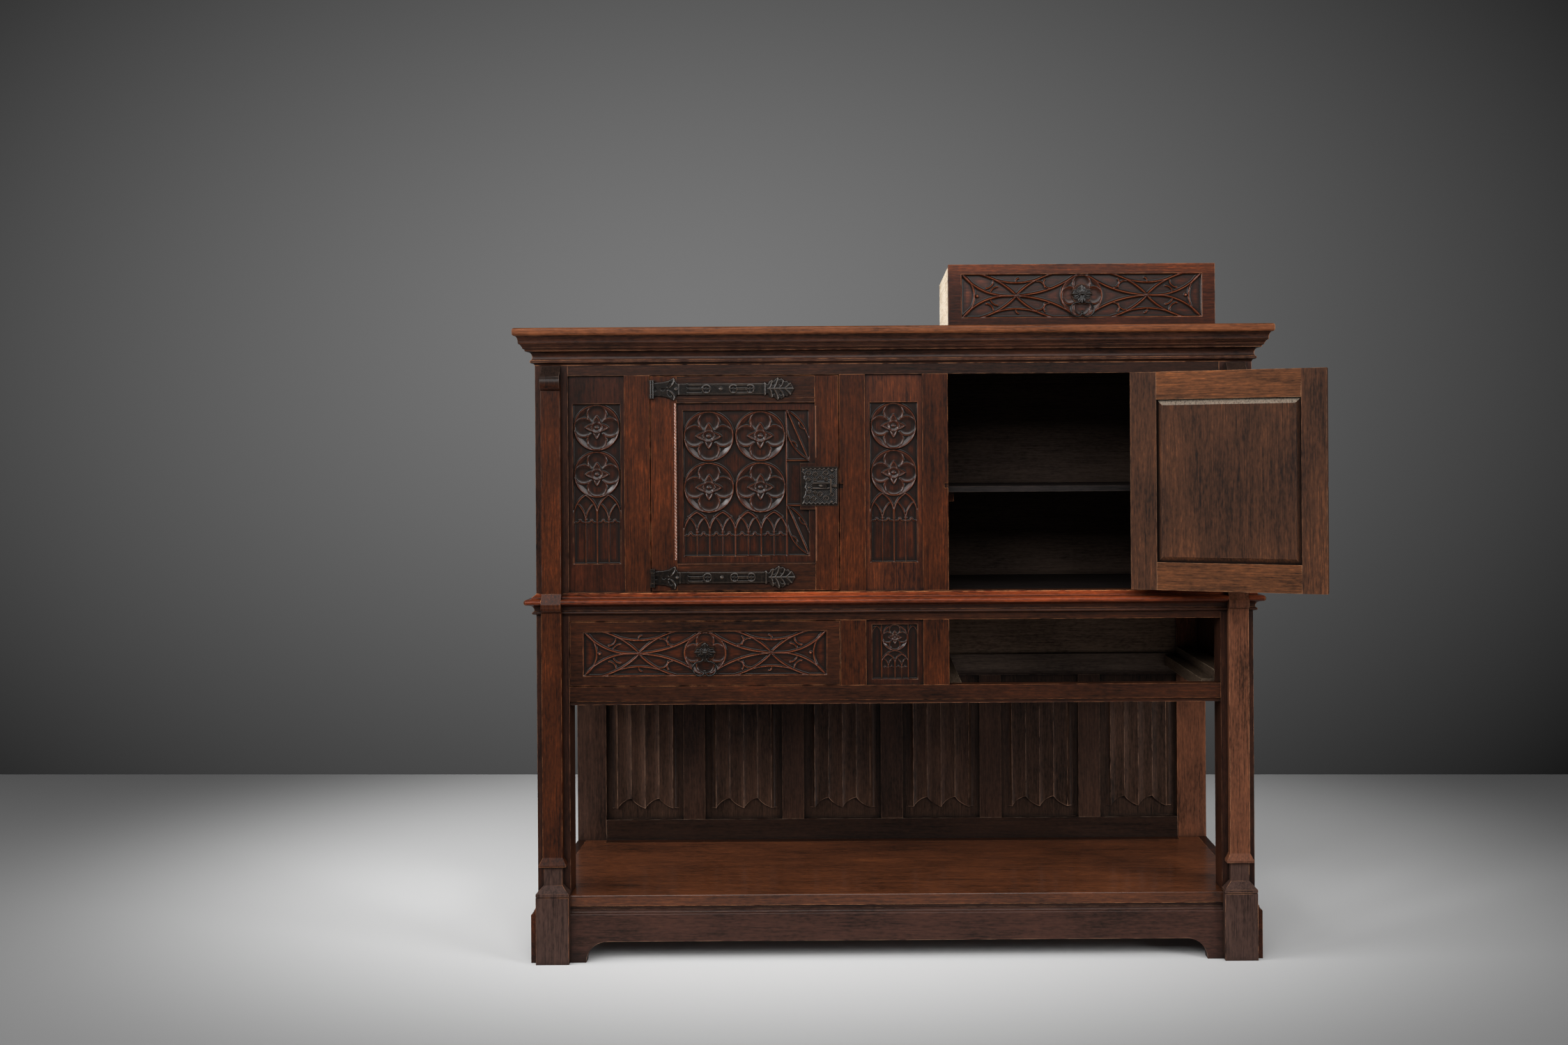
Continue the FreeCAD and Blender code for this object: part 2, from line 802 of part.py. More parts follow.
rear_y = (rear_face, rear_face + size.rear_frame_thickness)
linen_low = size.pot_board_level + size.rear_bottom_rail_height
linen_high = drawer_back_sill - size.rear_top_rail_height
group(
    "rear_frame_rails",
    [
        new_board("RearBottomRail", front_x, rear_y, (size.pot_board_level, linen_low)),
        new_board("RearTopRail", front_x, rear_y, (linen_high, drawer_back_sill)),
    ],
)
PANEL_COUNT = 6
linen_width = (post_inner * 2 - size.rear_muntin_width * (PANEL_COUNT - 1)) / PANEL_COUNT
linen_pitch = linen_width + size.rear_muntin_width
group(
    "rear_frame_muntins",
    [
        new_board(
            f"RearMuntin{number}",
            (linen_pitch * number - post_inner - size.rear_muntin_width, linen_pitch * number - post_inner),
            rear_y,
            (linen_low, linen_high),
        )
        for number in range(1, PANEL_COUNT)
    ],
)


def linenfold_panel(number):
    """A board carved like a cloth in folds: hollow flutes between sharp crests, and at
    each end a pointed hem."""
    left = linen_pitch * number - post_inner
    middle = left + linen_width / 2
    board_front = rear_face + size.linenfold_crest_setback + size.linenfold_relief
    board_back = board_front + size.linenfold_board_thickness
    body = new_body(f"Linenfold{number + 1}")
    add_pad(
        body,
        "XZ",
        board_front,
        board_back,
        rectangle((left, left + linen_width), (linen_low, linen_high)),
    )
    crest = board_front - size.linenfold_relief
    folds = [(middle - linen_width * LINENFOLD_EDGE_SHARE, board_front)]
    for share in LINENFOLD_CREST_SHARES:
        folds.append((middle + linen_width * share, crest, LINENFOLD_FLUTE_BULGE))
    folds.append((middle + linen_width * LINENFOLD_EDGE_SHARE, board_front, LINENFOLD_FLUTE_BULGE))
    margin = size.linenfold_end_margin
    low, high = linen_low + margin, linen_high - margin
    add_pad(body, "XY", low, high, folds)
    for end, inward in ((low, 1), (high, -1)):
        hem = [(middle - linen_width / 2, end - size.overrun * inward)]
        hem.append((middle + linen_width / 2, end - size.overrun * inward))
        for place, share in enumerate(reversed(LINENFOLD_CREST_SHARES)):
            rise = size.linenfold_notch_rise * inward * (place % 2)
            bend = LINENFOLD_OGEE_BULGE * inward * (1 if place % 2 else -1)
            hem.append((middle + linen_width * share, end + rise, *([bend] if place else [])))
        cut_pocket(body, "XZ", crest - size.overrun, board_front, hem)
    return body


group("linenfold_panels", [linenfold_panel(number) for number in range(PANEL_COUNT)])

# Inside the case: floor, partitions, shelves on cleats, drawer runners

floor_top = door_sill - size.floor_drop
floor_outline = [
    (-post_inner, rail_back),
    (post_inner, rail_back),
    (post_inner, post_back),
    (side_inner, post_back),
    (side_inner, rear_face),
    (-side_inner, rear_face),
    (-side_inner, post_back),
    (-post_inner, post_back),
]
floor = padded("CupboardFloor", "XY", floor_top - size.floor_thickness, floor_top, floor_outline)
name_node("cupboard_floor", floor)

partition_inner = bay_inner - size.partition_thickness
inside_y = (rail_back, rear_face)
group(
    "partitions",
    [
        new_board(
            f"Partition{side.title()}",
            span(sign, partition_inner, bay_inner),
            inside_y,
            (floor_top, top_underside),
        )
        for side, sign in SIDES
    ],
)

shelf_underside = size.shelf_level - size.shelf_thickness
shelf_front = rail_back + size.shelf_setback
cleat_y = (shelf_front + size.cleat_setback, rear_face)
shelf_cleats = []
for side, sign in SIDES:
    shelf_outline = [
        (bay_inner, shelf_front),
        (post_inner, shelf_front),
        (post_inner, post_back),
        (side_inner, post_back),
        (side_inner, rear_face),
        (bay_inner, rear_face),
    ]
    shelf = padded(
        f"Shelf{side.title()}", "XY", shelf_underside, size.shelf_level, mirrored(shelf_outline, sign)
    )
    name_node(f"shelf_{side}", shelf)
    cleat_z = (shelf_underside - size.cleat_height, shelf_underside)
    for name, near in (("Inner", bay_inner), ("Outer", side_inner - size.cleat_width)):
        cleat_x = span(sign, near, near + size.cleat_width)
        shelf_cleats.append(new_board(f"Cleat{name}{side.title()}", cleat_x, cleat_y, cleat_z))
group("shelf_cleats", shelf_cleats)

runners = []
for side, sign in SIDES:
    for name, edge, inward in (("Inner", bay_inner, 1), ("Outer", post_inner, -1)):
        tread_x = (edge - size.runner_bearer, edge + size.runner_tread)
        guide_x = (edge - size.runner_bearer, edge)
        if inward < 0:
            tread_x = (edge - size.runner_tread, edge + size.runner_bearer)
            guide_x = (edge, edge + size.runner_bearer)
        runner_y = (rail_back if inward > 0 else post_back, rear_face)
        tread_z = (drawer_sill - size.runner_height, drawer_sill)
        guide_z = (drawer_sill, drawer_sill + size.guide_height)
        label = f"{name}{side.title()}"
        runners.append(new_board(f"Runner{label}", span(sign, *tread_x), runner_y, tread_z))
        runners.append(new_board(f"Guide{label}", span(sign, *guide_x), runner_y, guide_z))
group("drawer_runners", runners)

# Stand: pot board in a border of base rails, over a plinth with bracket feet

base_low = size.pot_board_level - size.base_rail_height
board_low = size.pot_board_level - size.pot_board_thickness
base_inner = half_width - size.base_side_rail_thickness
border = rear_face - size.base_rear_border
rear_rail_outline = [
    (back, base_low),
    (back, size.pot_board_level),
    (rear_face, size.pot_board_level),
    (border, size.pot_board_level),
    (border, board_low),
    (border - size.ledge_width, board_low),
    (border - size.ledge_width, base_low),
]
base_rails = [padded("BaseRailRear", "YZ", *front_x, rear_rail_outline)]
for side, sign in SIDES:
    side_rail_outline = [
        (half_width, base_low),
        (half_width, size.pot_board_level),
        (base_inner, size.pot_board_level),
        (base_inner, board_low),
        (base_inner - size.ledge_width, board_low),
        (base_inner - size.ledge_width, base_low),
    ]
    label = f"BaseRail{side.title()}"
    base_rails.append(padded(label, "XZ", post_back, rear_face, mirrored(side_rail_outline, sign)))
group("base_rails", base_rails)

board_front_edge = front - size.pot_board_nosing
pot_outline = [
    (-post_inner, board_front_edge),
    (post_inner, board_front_edge),
    (post_inner, post_back),
    (base_inner, post_back),
    (base_inner, rear_face),
    (post_inner, rear_face),
    (post_inner, border),
    (-post_inner, border),
    (-post_inner, rear_face),
    (-base_inner, rear_face),
    (-base_inner, post_back),
    (-post_inner, post_back),
]
pot_board = padded("PotBoard", "XY", board_low, size.pot_board_level, pot_outline)


def on_nosing(point):
    return abs(point.y - board_front_edge.value) < 1 and point.z > size.pot_board_level.value - 1


round_edges(pot_board, size.nosing_radius, on_nosing)
name_node("pot_board", pot_board)

moulding_base = size.plinth_height - size.plinth_moulding_height
plinth_edge = [
    (size.plinth_projection * out, moulding_base + size.plinth_moulding_height * up, *bend)
    for out, up, *bend in PLINTH_SHARES
]


def arch(low, high):
    """The opening under an apron: a flat head between two hollow brackets."""
    sweep = size.foot_length + size.foot_sweep
    return [
        (low + size.foot_length, -size.overrun),
        (high - size.foot_length, -size.overrun),
        (high - size.foot_length, ZERO),
        (high - sweep, size.apron_height, FOOT_BEND),
        (low + sweep, size.apron_height),
        (low + size.foot_length, ZERO, FOOT_BEND),
    ]


plinth_outline = [(front + size.plinth_back_thickness, size.plinth_height)]
plinth_outline += [(front + size.plinth_back_thickness, ZERO), (front - size.plinth_projection, ZERO)]
plinth_outline += [(front - out, level, *[-bulge for bulge in bend]) for out, level, *bend in plinth_edge]
plinth = padded("PlinthFront", "YZ", *front_x, plinth_outline)
cut_pocket(
    plinth,
    "XZ",
    front - size.plinth_projection - size.overrun,
    front + size.plinth_back_thickness + size.overrun,
    arch(-post_inner, post_inner),
)
name_node("plinth_front", plinth)

plinth_sides = []
plinth_start = front - size.plinth_projection
for side, sign in SIDES:
    outline = [(half_width, ZERO), (half_width + size.plinth_projection, ZERO)]
    outline += [(half_width + out, level, *bend) for out, level, *bend in plinth_edge]
    body = padded(f"Plinth{side.title()}", "XZ", plinth_start, back, mirrored(outline, sign))
    x = span(sign, half_width - size.overrun, half_width + size.plinth_projection + size.overrun)
    cut_pocket(body, "YZ", *x, arch(plinth_start, back))
    plinth_sides.append(body)
group("plinth_sides", plinth_sides)

# Hinges: a pintle on the jamb whose pin passes through the knuckle of the strap

hinge_x = door_outer - size.pin_inset
hinge_y = front - size.pin_stand
strap_levels = (door_head - size.strap_inset, door_sill + size.strap_inset)
knuckle_half = size.knuckle_height / 2
eye_low = knuckle_half + size.eye_gap
eye_high = eye_low + size.eye_height
door_near = size.door_gap - size.pin_inset
door_far = door_opening_width - size.pin_inset - size.door_gap


def place(body, x, y, z, angle=0.0):
    """Set a piece that is drawn about its own origin into the cupboard."""
    body.Placement = Placement(Vector(x.value, y.value, z.value), Rotation(Vector(0, 0, 1), angle))
    for axis, value in (("x", x), ("y", y), ("z", z)):
        body.setExpression(f"Placement.Base.{axis}", value.text)
    return body


def hinge_pintle(label, sign, level):
    body = new_body(label)
    circle = [(ZERO, ZERO, size.knuckle_radius)]
    for low, high in ((level + eye_low, level + eye_high), (level - eye_high, level - eye_low)):
        add_pad(body, "XY", low, high, [], circle)
    add_pad(body, "XY", level - eye_high, level + eye_high, [], [(ZERO, ZERO, size.pin_radius)])
    plate_x = (-size.pin_inset, size.pintle_plate_thickness - size.pin_inset)
    plate_y = (-size.pintle_bridge / 2, size.pin_stand + size.pintle_plate_depth)
    bridge = rectangle((-size.pin_inset, ZERO), (-size.pintle_bridge / 2, size.pintle_bridge / 2))
    for low, high in ((level + eye_low, level + eye_high), (level - eye_high, level - eye_low)):
        add_pad(body, "XY", low, high, mirrored(bridge, -sign))
        add_pad(body, "XY", low, high, mirrored(rectangle(plate_x, plate_y), -sign))
    return place(body, hinge_x * sign, hinge_y, ZERO)


pintles = []
for side, sign in SIDES:
    for number, level in enumerate(strap_levels, start=1):
        pintles.append(hinge_pintle(f"Pintle{side.title()}{number}", sign, level))
group("hinge_pintles", pintles)


def strap_outline(level):
    """A hinge strap: spurred butt end, straight band, leaf-shaped tip."""
    band = size.strap_width / 2
    band_end = size.strap_length - size.strap_tip_length
    half = [(ZERO, knuckle_half), (size.pin_inset, knuckle_half)]
    for along, up in STRAP_BUTT_SHARES:
        half.append((size.strap_butt_length * along, size.strap_butt_height / 2 * up))
    half += [(size.strap_butt_length, band), (band_end, band)]
    for along, up in STRAP_TIP_SHARES:
        half.append((band_end + size.strap_tip_length * along, size.strap_tip_height / 2 * up))
    lower = [(x, level - up) for x, up in half]
    upper = [(x, level + up) for x, up in reversed(half)]
    return lower + [(size.strap_length, level)] + upper


def make_door(side, sign, angle):
    """One door, drawn shut about its hinge pin, with its straps, lock plate and bolt."""
    name = side.title()
    turn = -sign
    face = size.pin_stand
    inner_face = face + size.door_thickness
    z_low, z_high = door_sill + size.door_gap, door_head - size.door_gap
    field_x = (door_near + size.door_hinge_stile_width, door_far - size.door_lock_stile_width)
    field_z = (z_low + size.door_bottom_rail_height, z_high - size.door_top_rail_height)
    groove_y = (face + size.tongue_setback, face + size.tongue_setback + size.tongue_thickness)
    groove_x = (field_x[0] - size.tongue_length, field_x[1] + size.tongue_length)
    groove_z = (field_z[0] - size.tongue_length, field_z[1] + size.tongue_length)

    def set_in(body):
        return place(body, hinge_x * sign, hinge_y, ZERO, angle)

    def flat(x, z):
        return mirrored(rectangle(x, z), turn)

    stiles = []
    for label, x in (("Hinge", (door_near, field_x[0])), ("Lock", (field_x[1], door_far))):
        stile = padded(f"{name}{label}Stile", "XZ", face, inner_face, flat(x, (z_low, z_high)))
        inner_edge = groove_x[0] if label == "Hinge" else field_x[1]
        groove = (inner_edge, inner_edge + size.tongue_length)
        cut_pocket(stile, "XZ", *groove_y, flat(groove, groove_z))
        if label == "Lock":
            bed = (door_far - size.bolt_set - size.bolt_length - size.bolt_play, door_far + size.overrun)
            bed_z = (size.lock_level - notch_half, size.lock_level + notch_half)
            cut_pocket(stile, "XZ", face - size.overrun, face + bolt_notch, flat(bed, bed_z))
        stiles.append(set_in(stile))
    group(f"{side}_door_stiles", stiles)

    rails = []
    for label, z, groove in (
        ("Top", (field_z[1], z_high), (field_z[1], groove_z[1])),
        ("Bottom", (z_low, field_z[0]), (groove_z[0], field_z[0])),
    ):
        rail = padded(f"{name}{label}Rail", "XZ", face, inner_face, flat(field_x, z))
        cut_pocket(rail, "XZ", *groove_y, flat(field_x, groove))
        rails.append(set_in(rail))
    group(f"{side}_door_rails", rails)

    panel = new_body(f"{name}DoorPanel")
    panel_front = face + size.door_panel_setback
    panel_flat = panel_front + size.door_panel_front
    add_pad(panel, "XZ", panel_front, panel_flat, flat(field_x, field_z))
    add_pad(panel, "XZ", *groove_y, flat(groove_x, groove_z))
    bevel = size.door_panel_bevel
    raised_x = (field_x[0] + bevel, field_x[1] - bevel)
    raised_z = (field_z[0] + bevel, field_z[1] - bevel)
    panel_back = panel_flat + size.door_panel_raise
    add_loft(panel, "XZ", [(panel_flat, flat(field_x, field_z)), (panel_back, flat(raised_x, raised_z))])
    x_middle = (field_x[0] + field_x[1]) / 2
    z_middle = (field_z[0] + field_z[1]) / 2
    carved_x = (x_middle - size.door_field_width / 2, x_middle + size.door_field_width / 2)
    carved_z = (z_middle - size.door_field_height / 2, z_middle + size.door_field_height / 2)
    cut_pocket(
        panel,
        "XZ",
        panel_front - size.overrun,
        panel_front + size.door_field_depth,
        flat(carved_x, carved_z),
    )
    block_x = (field_x[1] - size.lock_block_width, field_x[1])
    block_z = (size.lock_level - size.lock_block_height / 2, size.lock_level + size.lock_block_height / 2)
    add_pad(panel, "XZ", face, panel_flat, flat(block_x, block_z))
    name_node(f"{side}_door_panel", set_in(panel))

    straps = []
    for number, level in enumerate(strap_levels, start=1):
        strap = new_body(f"{name}Strap{number}")
        plate = mirrored(strap_outline(level), turn)
        add_pad(strap, "XZ", face - size.strap_thickness, face, plate)
        barrel = (level - knuckle_half, level + knuckle_half)
        add_pad(strap, "XY", *barrel, [], [(ZERO, ZERO, size.knuckle_radius)])
        bore = size.pin_radius + size.pin_clearance
        cut_pocket(strap, "XY", *barrel, [], [(ZERO, ZERO, bore)])
        straps.append(set_in(strap))
    group(f"{side}_door_straps", straps)

    plate = new_body(f"{name}LockPlate")
    plate_far = door_far - size.lock_plate_inset
    plate_x = (plate_far - size.lock_plate_width, plate_far)
    plate_z = (size.lock_level - size.lock_plate_height / 2, size.lock_level + size.lock_plate_height / 2)
    plate_y = (face - size.lock_plate_thickness, face)
    add_pad(plate, "XZ", *plate_y, flat(plate_x, plate_z))
    knob_x = door_far - size.bolt_knob_place
    play = size.bolt_knob_radius + size.bolt_clearance
    slot_x = (knob_x - play, knob_x + size.bolt_travel + play)
    slot_z = (size.lock_level - play, size.lock_level + play)
    slot_y = (plate_y[0] - size.overrun, plate_y[1])
    cut_pocket(plate, "XZ", *slot_y, flat(slot_x, slot_z))
    name_node(f"{side}_lock_plate", set_in(plate))

    bolt = new_body(f"{name}LockBolt")
    bolt_x = (door_far - size.bolt_set - size.bolt_length, door_far - size.bolt_set)
    bolt_z = (size.lock_level - size.bolt_height / 2, size.lock_level + size.bolt_height / 2)
    bolt_front = face + size.bolt_clearance
    add_pad(bolt, "XZ", bolt_front, bolt_front + size.bolt_thickness, flat(bolt_x, bolt_z))
    knob = [(knob_x * turn, size.lock_level, size.bolt_knob_radius)]
    add_pad(bolt, "XZ", face - size.bolt_knob_reach, bolt_front, [], knob)
    name_node(f"{side}_lock_bolt", set_in(bolt))


make_door("left", -1, 0.0)
make_door("right", 1, SIZES["open_angle"])

# Drawers, drawn about the middle of the front face at the underside of the sides

front_rise = size.drawer_gap - size.drawer_running_gap
drawer_half = bay_width / 2 - size.drawer_gap
drawer_height = size.drawer_opening_height - size.drawer_gap * 2
drawer_depth = size.frame_depth - size.rear_post_depth - size.drawer_back_room


def make_drawer(side, x, y, z):
    """One drawer with its back plate, ears and pin, and the bail that hangs from them."""
    name = side.title()

    def set_in(body):
        return place(body, x, y, z)

    face = new_body(f"{name}DrawerFront")
    front_z = (front_rise, front_rise + drawer_height)
    add_pad(face, "XZ", ZERO, size.drawer_front_thickness, rectangle((-drawer_half, drawer_half), front_z))
    z_middle = (front_z[0] + front_z[1]) / 2
    field_x = (-size.drawer_field_width / 2, size.drawer_field_width / 2)
    field_z = (z_middle - size.drawer_field_height / 2, z_middle + size.drawer_field_height / 2)
    boss = [(ZERO, size.pull_level, size.pull_boss_radius)]
    cut_pocket(face, "XZ", -size.overrun, size.drawer_field_depth, rectangle(field_x, field_z), boss)
    name_node(f"{side}_drawer_front", set_in(face))

    outer = drawer_half - size.drawer_side_inset
    inner = outer - size.drawer_side_thickness
    side_top = front_rise + drawer_height - size.drawer_side_inset
    back_low = size.drawer_bottom_rise + size.drawer_bottom_thickness
    box_y = (size.drawer_front_thickness, drawer_depth)
    back_y = (drawer_depth - size.drawer_side_thickness, drawer_depth)
    box = []
    for label, side_x in (("Left", (-outer, -inner)), ("Right", (inner, outer))):
        box.append(set_in(padded(f"{name}DrawerSide{label}", "XY", ZERO, side_top, rectangle(side_x, box_y))))
    back_top = side_top - size.drawer_side_drop
    back_plan = rectangle((-inner, inner), back_y)
    box.append(set_in(padded(f"{name}DrawerBack", "XY", back_low, back_top, back_plan)))
    group(f"{side}_drawer_sides", box)
    bottom = padded(
        f"{name}DrawerBottom",
        "XY",
        size.drawer_bottom_rise,
        back_low,
        rectangle((-inner, inner), box_y),
    )
    name_node(f"{side}_drawer_bottom", set_in(bottom))

    plate = new_body(f"{name}PullPlate")
    quarter = [(size.pull_plate_width / 2 * a, size.pull_plate_height / 2 * b) for a, b in PULL_PLATE_SHARES]
    half = quarter + [(-a, b) for a, b in reversed(quarter[:-1])]
    lower = [(a, -b) for a, b in reversed(half[1:-1])]
    outline = [(a, size.pull_level + b) for a, b in half + lower]
    add_pad(plate, "XZ", -size.pull_plate_thickness, ZERO, outline)
    knuckle_end = size.bail_knuckle_length / 2
    ear_start = knuckle_end + size.bail_side_gap
    ear_end = ear_start + size.pull_ear_thickness
    ear_y = (-size.pull_stand - size.pull_pin_radius * 2, -size.pull_plate_thickness)
    ear_z = (size.pull_level - size.pull_ear_height / 2, size.pull_level + size.pull_ear_height / 2)
    for ear_x in ((-ear_end, -ear_start), (ear_start, ear_end)):
        add_pad(plate, "XZ", *ear_y, rectangle(ear_x, ear_z))
    pin = [(-size.pull_stand, size.pull_level, size.pull_pin_radius)]
    add_pad(plate, "YZ", -ear_end, ear_end, [], pin)
    name_node(f"{side}_pull_plate", set_in(plate))

    bail = new_body(f"{name}PullBail")
    knuckle = [(-size.pull_stand, size.pull_level, size.bail_knuckle_radius)]
    add_pad(bail, "YZ", -knuckle_end, knuckle_end, [], knuckle)
    arm, neck, lobe = size.bail_arm_offset, size.bail_neck_radius, size.bail_lobe_radius
    start = size.pull_level - size.bail_knuckle_radius + size.bail_wire_radius
    turn_1 = start - size.bail_arm_drop
    across_2 = arm + neck
    turn_2 = turn_1 - neck
    low = turn_2 - lobe * 2
    for sign in (-1, 1):
        path = body_path(bail, -size.pull_stand, sign, start, turn_1, turn_2, low)
        profile = new_sketch(bail, "XY", start, [], [(arm * sign, -size.pull_stand, size.bail_wire_radius)])
        wire = bail.newObject("PartDesign::AdditivePipe", f"{bail.Name}Wire")
        wire.Profile = profile
        wire.Spine = (path, [])
        bail.Tip = wire
    drop = bail.newObject("PartDesign::AdditiveSphere", f"{bail.Name}Drop")
    drop.setExpression("Radius", size.bail_drop_radius.text)
    drop.setExpression("Placement.Base.y", (-size.pull_stand).text)
    drop.setExpression("Placement.Base.z", (low + across_2).text)
    bail.Tip = drop
    bore = size.pull_pin_radius + size.pin_clearance
    ends = (-knuckle_end - size.overrun, knuckle_end + size.overrun)
    cut_pocket(bail, "YZ", *ends, [], [(-size.pull_stand, size.pull_level, bore)])
    name_node(f"{side}_pull_bail", set_in(bail))


def body_path(body, y, sign, start, turn_1, turn_2, low):
    """Half of the bail's double scroll: down, out round the lobe and up to the middle."""
    arm, neck, lobe = size.bail_arm_offset, size.bail_neck_radius, size.bail_lobe_radius
    across_2 = arm + neck
    face = next(f for f in body.Origin.OriginFeatures if f.Role == "XZ_Plane")
    sketch = body.newObject("Sketcher::SketchObject", f"{body.Name}Path")
    sketch.AttachmentSupport = [(face, "")]
    sketch.MapMode = "FlatFace"
    sketch.setExpression("AttachmentOffset.Base.z", (-y).text)

    def at(across, up):
        return Vector(across.value * sign, up.value, 0)

    bend = math.sqrt(0.5)
    outer = across_2 + lobe
    middle = turn_2 - lobe
    sketch.addGeometry(
        [
            Part.LineSegment(at(arm, start), at(arm, turn_1)),
            Part.Arc(at(arm, turn_1), at(across_2 - neck * bend, turn_1 - neck * bend), at(across_2, turn_2)),
            Part.Arc(at(across_2, turn_2), at(outer, middle), at(across_2, low)),
            Part.Arc(
                at(across_2, low),
                at(across_2 - across_2 * bend, low + across_2 * (1 - bend)),
                at(ZERO, low + across_2),
            ),
        ]
    )
    return sketch


drawer_level = drawer_sill + size.drawer_running_gap
make_drawer("left", -bay_centre, front, drawer_level)
make_drawer("right", bay_centre + size.parked_offset, front + size.parked_setback, case_top)

# Checks and files

DOCUMENT.recompute()
for item in DOCUMENT.Objects:
    bad = {"Invalid", "Error"} & set(item.State)
    assert not bad, f"{item.Label} is {bad}"
os.makedirs("parts", exist_ok=True)
for label, item in NODES.items():
    shape = item.Shape
    assert not shape.isNull() and shape.isValid() and shape.Solids, f"{label} has no sound shape"
    assert all(solid.Volume > 0 for solid in shape.Solids), f"{label} is inside out"
    shape.exportStep(f"parts/{label}.step")
print(len(NODES), "nodes,", sum(len(item.Shape.Solids) for item in NODES.values()), "solids")
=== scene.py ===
# %% [markdown]
# # A carved oak court cupboard
# This lesson dresses the frame of a Gothic revival cupboard: a case with two doors over
# two drawers, on an open stand. The joinery comes from the frame and only needs its
# finish. The carving and the ironwork are made here, on top of the plain panels.
# All lengths are in metres, except where a helper says that it works in millimetres,
# because carving tools and their cuts are easier to picture in millimetres.

import math

import bmesh
import bpy
import numpy as np
from mathutils import Matrix, Vector


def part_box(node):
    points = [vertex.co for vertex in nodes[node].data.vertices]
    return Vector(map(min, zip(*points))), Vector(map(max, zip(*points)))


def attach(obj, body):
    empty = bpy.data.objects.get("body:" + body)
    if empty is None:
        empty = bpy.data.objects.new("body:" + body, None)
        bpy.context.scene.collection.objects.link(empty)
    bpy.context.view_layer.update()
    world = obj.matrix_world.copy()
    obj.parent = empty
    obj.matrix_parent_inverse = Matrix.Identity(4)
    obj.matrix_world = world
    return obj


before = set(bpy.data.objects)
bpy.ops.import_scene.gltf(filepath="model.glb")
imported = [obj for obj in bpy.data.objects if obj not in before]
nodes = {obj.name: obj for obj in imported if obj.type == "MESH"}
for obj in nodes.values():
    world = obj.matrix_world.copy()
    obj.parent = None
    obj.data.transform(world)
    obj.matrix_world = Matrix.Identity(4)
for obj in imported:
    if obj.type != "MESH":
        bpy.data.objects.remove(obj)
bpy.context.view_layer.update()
MM = 0.001
SIDES = ("left", "right")

# %% [markdown]
# ## Writing finishes as sums
# A finish is a network of nodes, and sums are easier to read than wiring. A Signal wraps
# one socket and knows plus, minus, times and powers, so a mask can be written as
# 1 - mask. A Finish makes every other kind of node through one method.


# %% Signal and Finish
class Signal:
    """A value in a finish's node tree that can be used in sums."""

    def __init__(self, finish, socket):
        self.finish = finish
        self.socket = socket

    def _math(self, operation, *values):
        return self.finish.node("Math", {"operation": operation}, dict(enumerate(values)))

    def __add__(self, other):
        return self._math("ADD", self, other)

    __radd__ = __add__

    def __sub__(self, other):
        return self._math("SUBTRACT", self, other)

    def __rsub__(self, other):
        return self._math("SUBTRACT", other, self)

    def __mul__(self, other):
        return self._math("MULTIPLY", self, other)

    __rmul__ = __mul__

    def __pow__(self, other):
        return self._math("POWER", self, other)

    def __rpow__(self, other):
        return self._math("POWER", other, self)

    def sine(self):
        return self._math("SINE", self)

    def ramp(self, low, high):
        """0 below low, 1 above high and smooth between them."""
        settings = {"interpolation_type": "SMOOTHSTEP"}
        values = {"Value": self, "From Min": low, "From Max": high}
        return self.finish.node("MapRange", settings, values)


class Finish:
    """A material whose nodes are made and joined in code."""

    def __init__(self, name):
        self.material = bpy.data.materials.new(name)
        self.material.use_nodes = True
        self.tree = self.material.node_tree
        self.shader = self.tree.nodes["Principled BSDF"]

    def feed(self, socket, value):
        if isinstance(value, Signal):
            self.tree.links.new(value.socket, socket)
        else:
            socket.default_value = value

    def node(self, kind, settings=None, inputs=None, output=0):
        new = self.tree.nodes.new("ShaderNode" + kind)
        for name, value in (settings or {}).items():
            setattr(new, name, value)
        for name, value in (inputs or {}).items():
            self.feed(new.inputs[name], value)
        return Signal(self, new.outputs[output])

    def mix(self, share, first, second):
        """Blend two colours by a share between 0 and 1."""
        settings = {"data_type": "RGBA", "clamp_factor": True}
        return self.node("Mix", settings, {0: share, 6: first, 7: second}, 2)

    def noise(self, vector, scale, detail=2.0, roughness=0.5, distortion=0.0):
        inputs = {"Vector": vector, "Scale": scale, "Detail": detail}
        inputs.update({"Roughness": roughness, "Distortion": distortion})
        return self.node("TexNoise", inputs=inputs)

    def coords(self):
        return self.node("TexCoord", output="Object")

    def mark(self, name):
        """A value that was stored on the points of a mesh."""
        return self.node("Attribute", {"attribute_name": name}, output="Fac")

    def part(self, vector, axis):
        return self.node("SeparateXYZ", inputs={"Vector": vector}, output=axis)

    def arris(self, radius):
        """How sharply the surface turns within a radius: 0 on a flat face."""
        normal = self.node("NewGeometry", output="Normal")
        soft = self.node("Bevel", {"samples": 4}, {"Radius": radius})
        settings = {"operation": "DOT_PRODUCT"}
        return 1.0 - self.node("VectorMath", settings, {0: soft, 1: normal}, "Value")

    def openness(self, distance):
        """How open the surroundings are: 1 on a flat face, less in a corner."""
        return self.node("AmbientOcclusion", {"samples": 4}, {"Distance": distance}, "AO")

    def shade(self, **inputs):
        """Set the surface. An underscore stands for a space in an input's name."""
        for name, value in inputs.items():
            self.feed(self.shader.inputs[name.replace("_", " ")], value)
        return self.material


def tint(code):
    """A colour in hex, as a colour picker shows it, turned into the light that it stands for."""
    shares = [int(code[at : at + 2], 16) / 255 for at in (0, 2, 4)]
    return (*[c / 12.92 if c <= 0.04045 else ((c + 0.055) / 1.055) ** 2.4 for c in shares], 1.0)


def shades(codes):
    """The colours of one kind of board, from its hollows to its worn edges."""
    return [tint(code) for code in codes.split()]


print("the middle grey of a screen is this share of full light:", round(tint("808080")[0], 3))

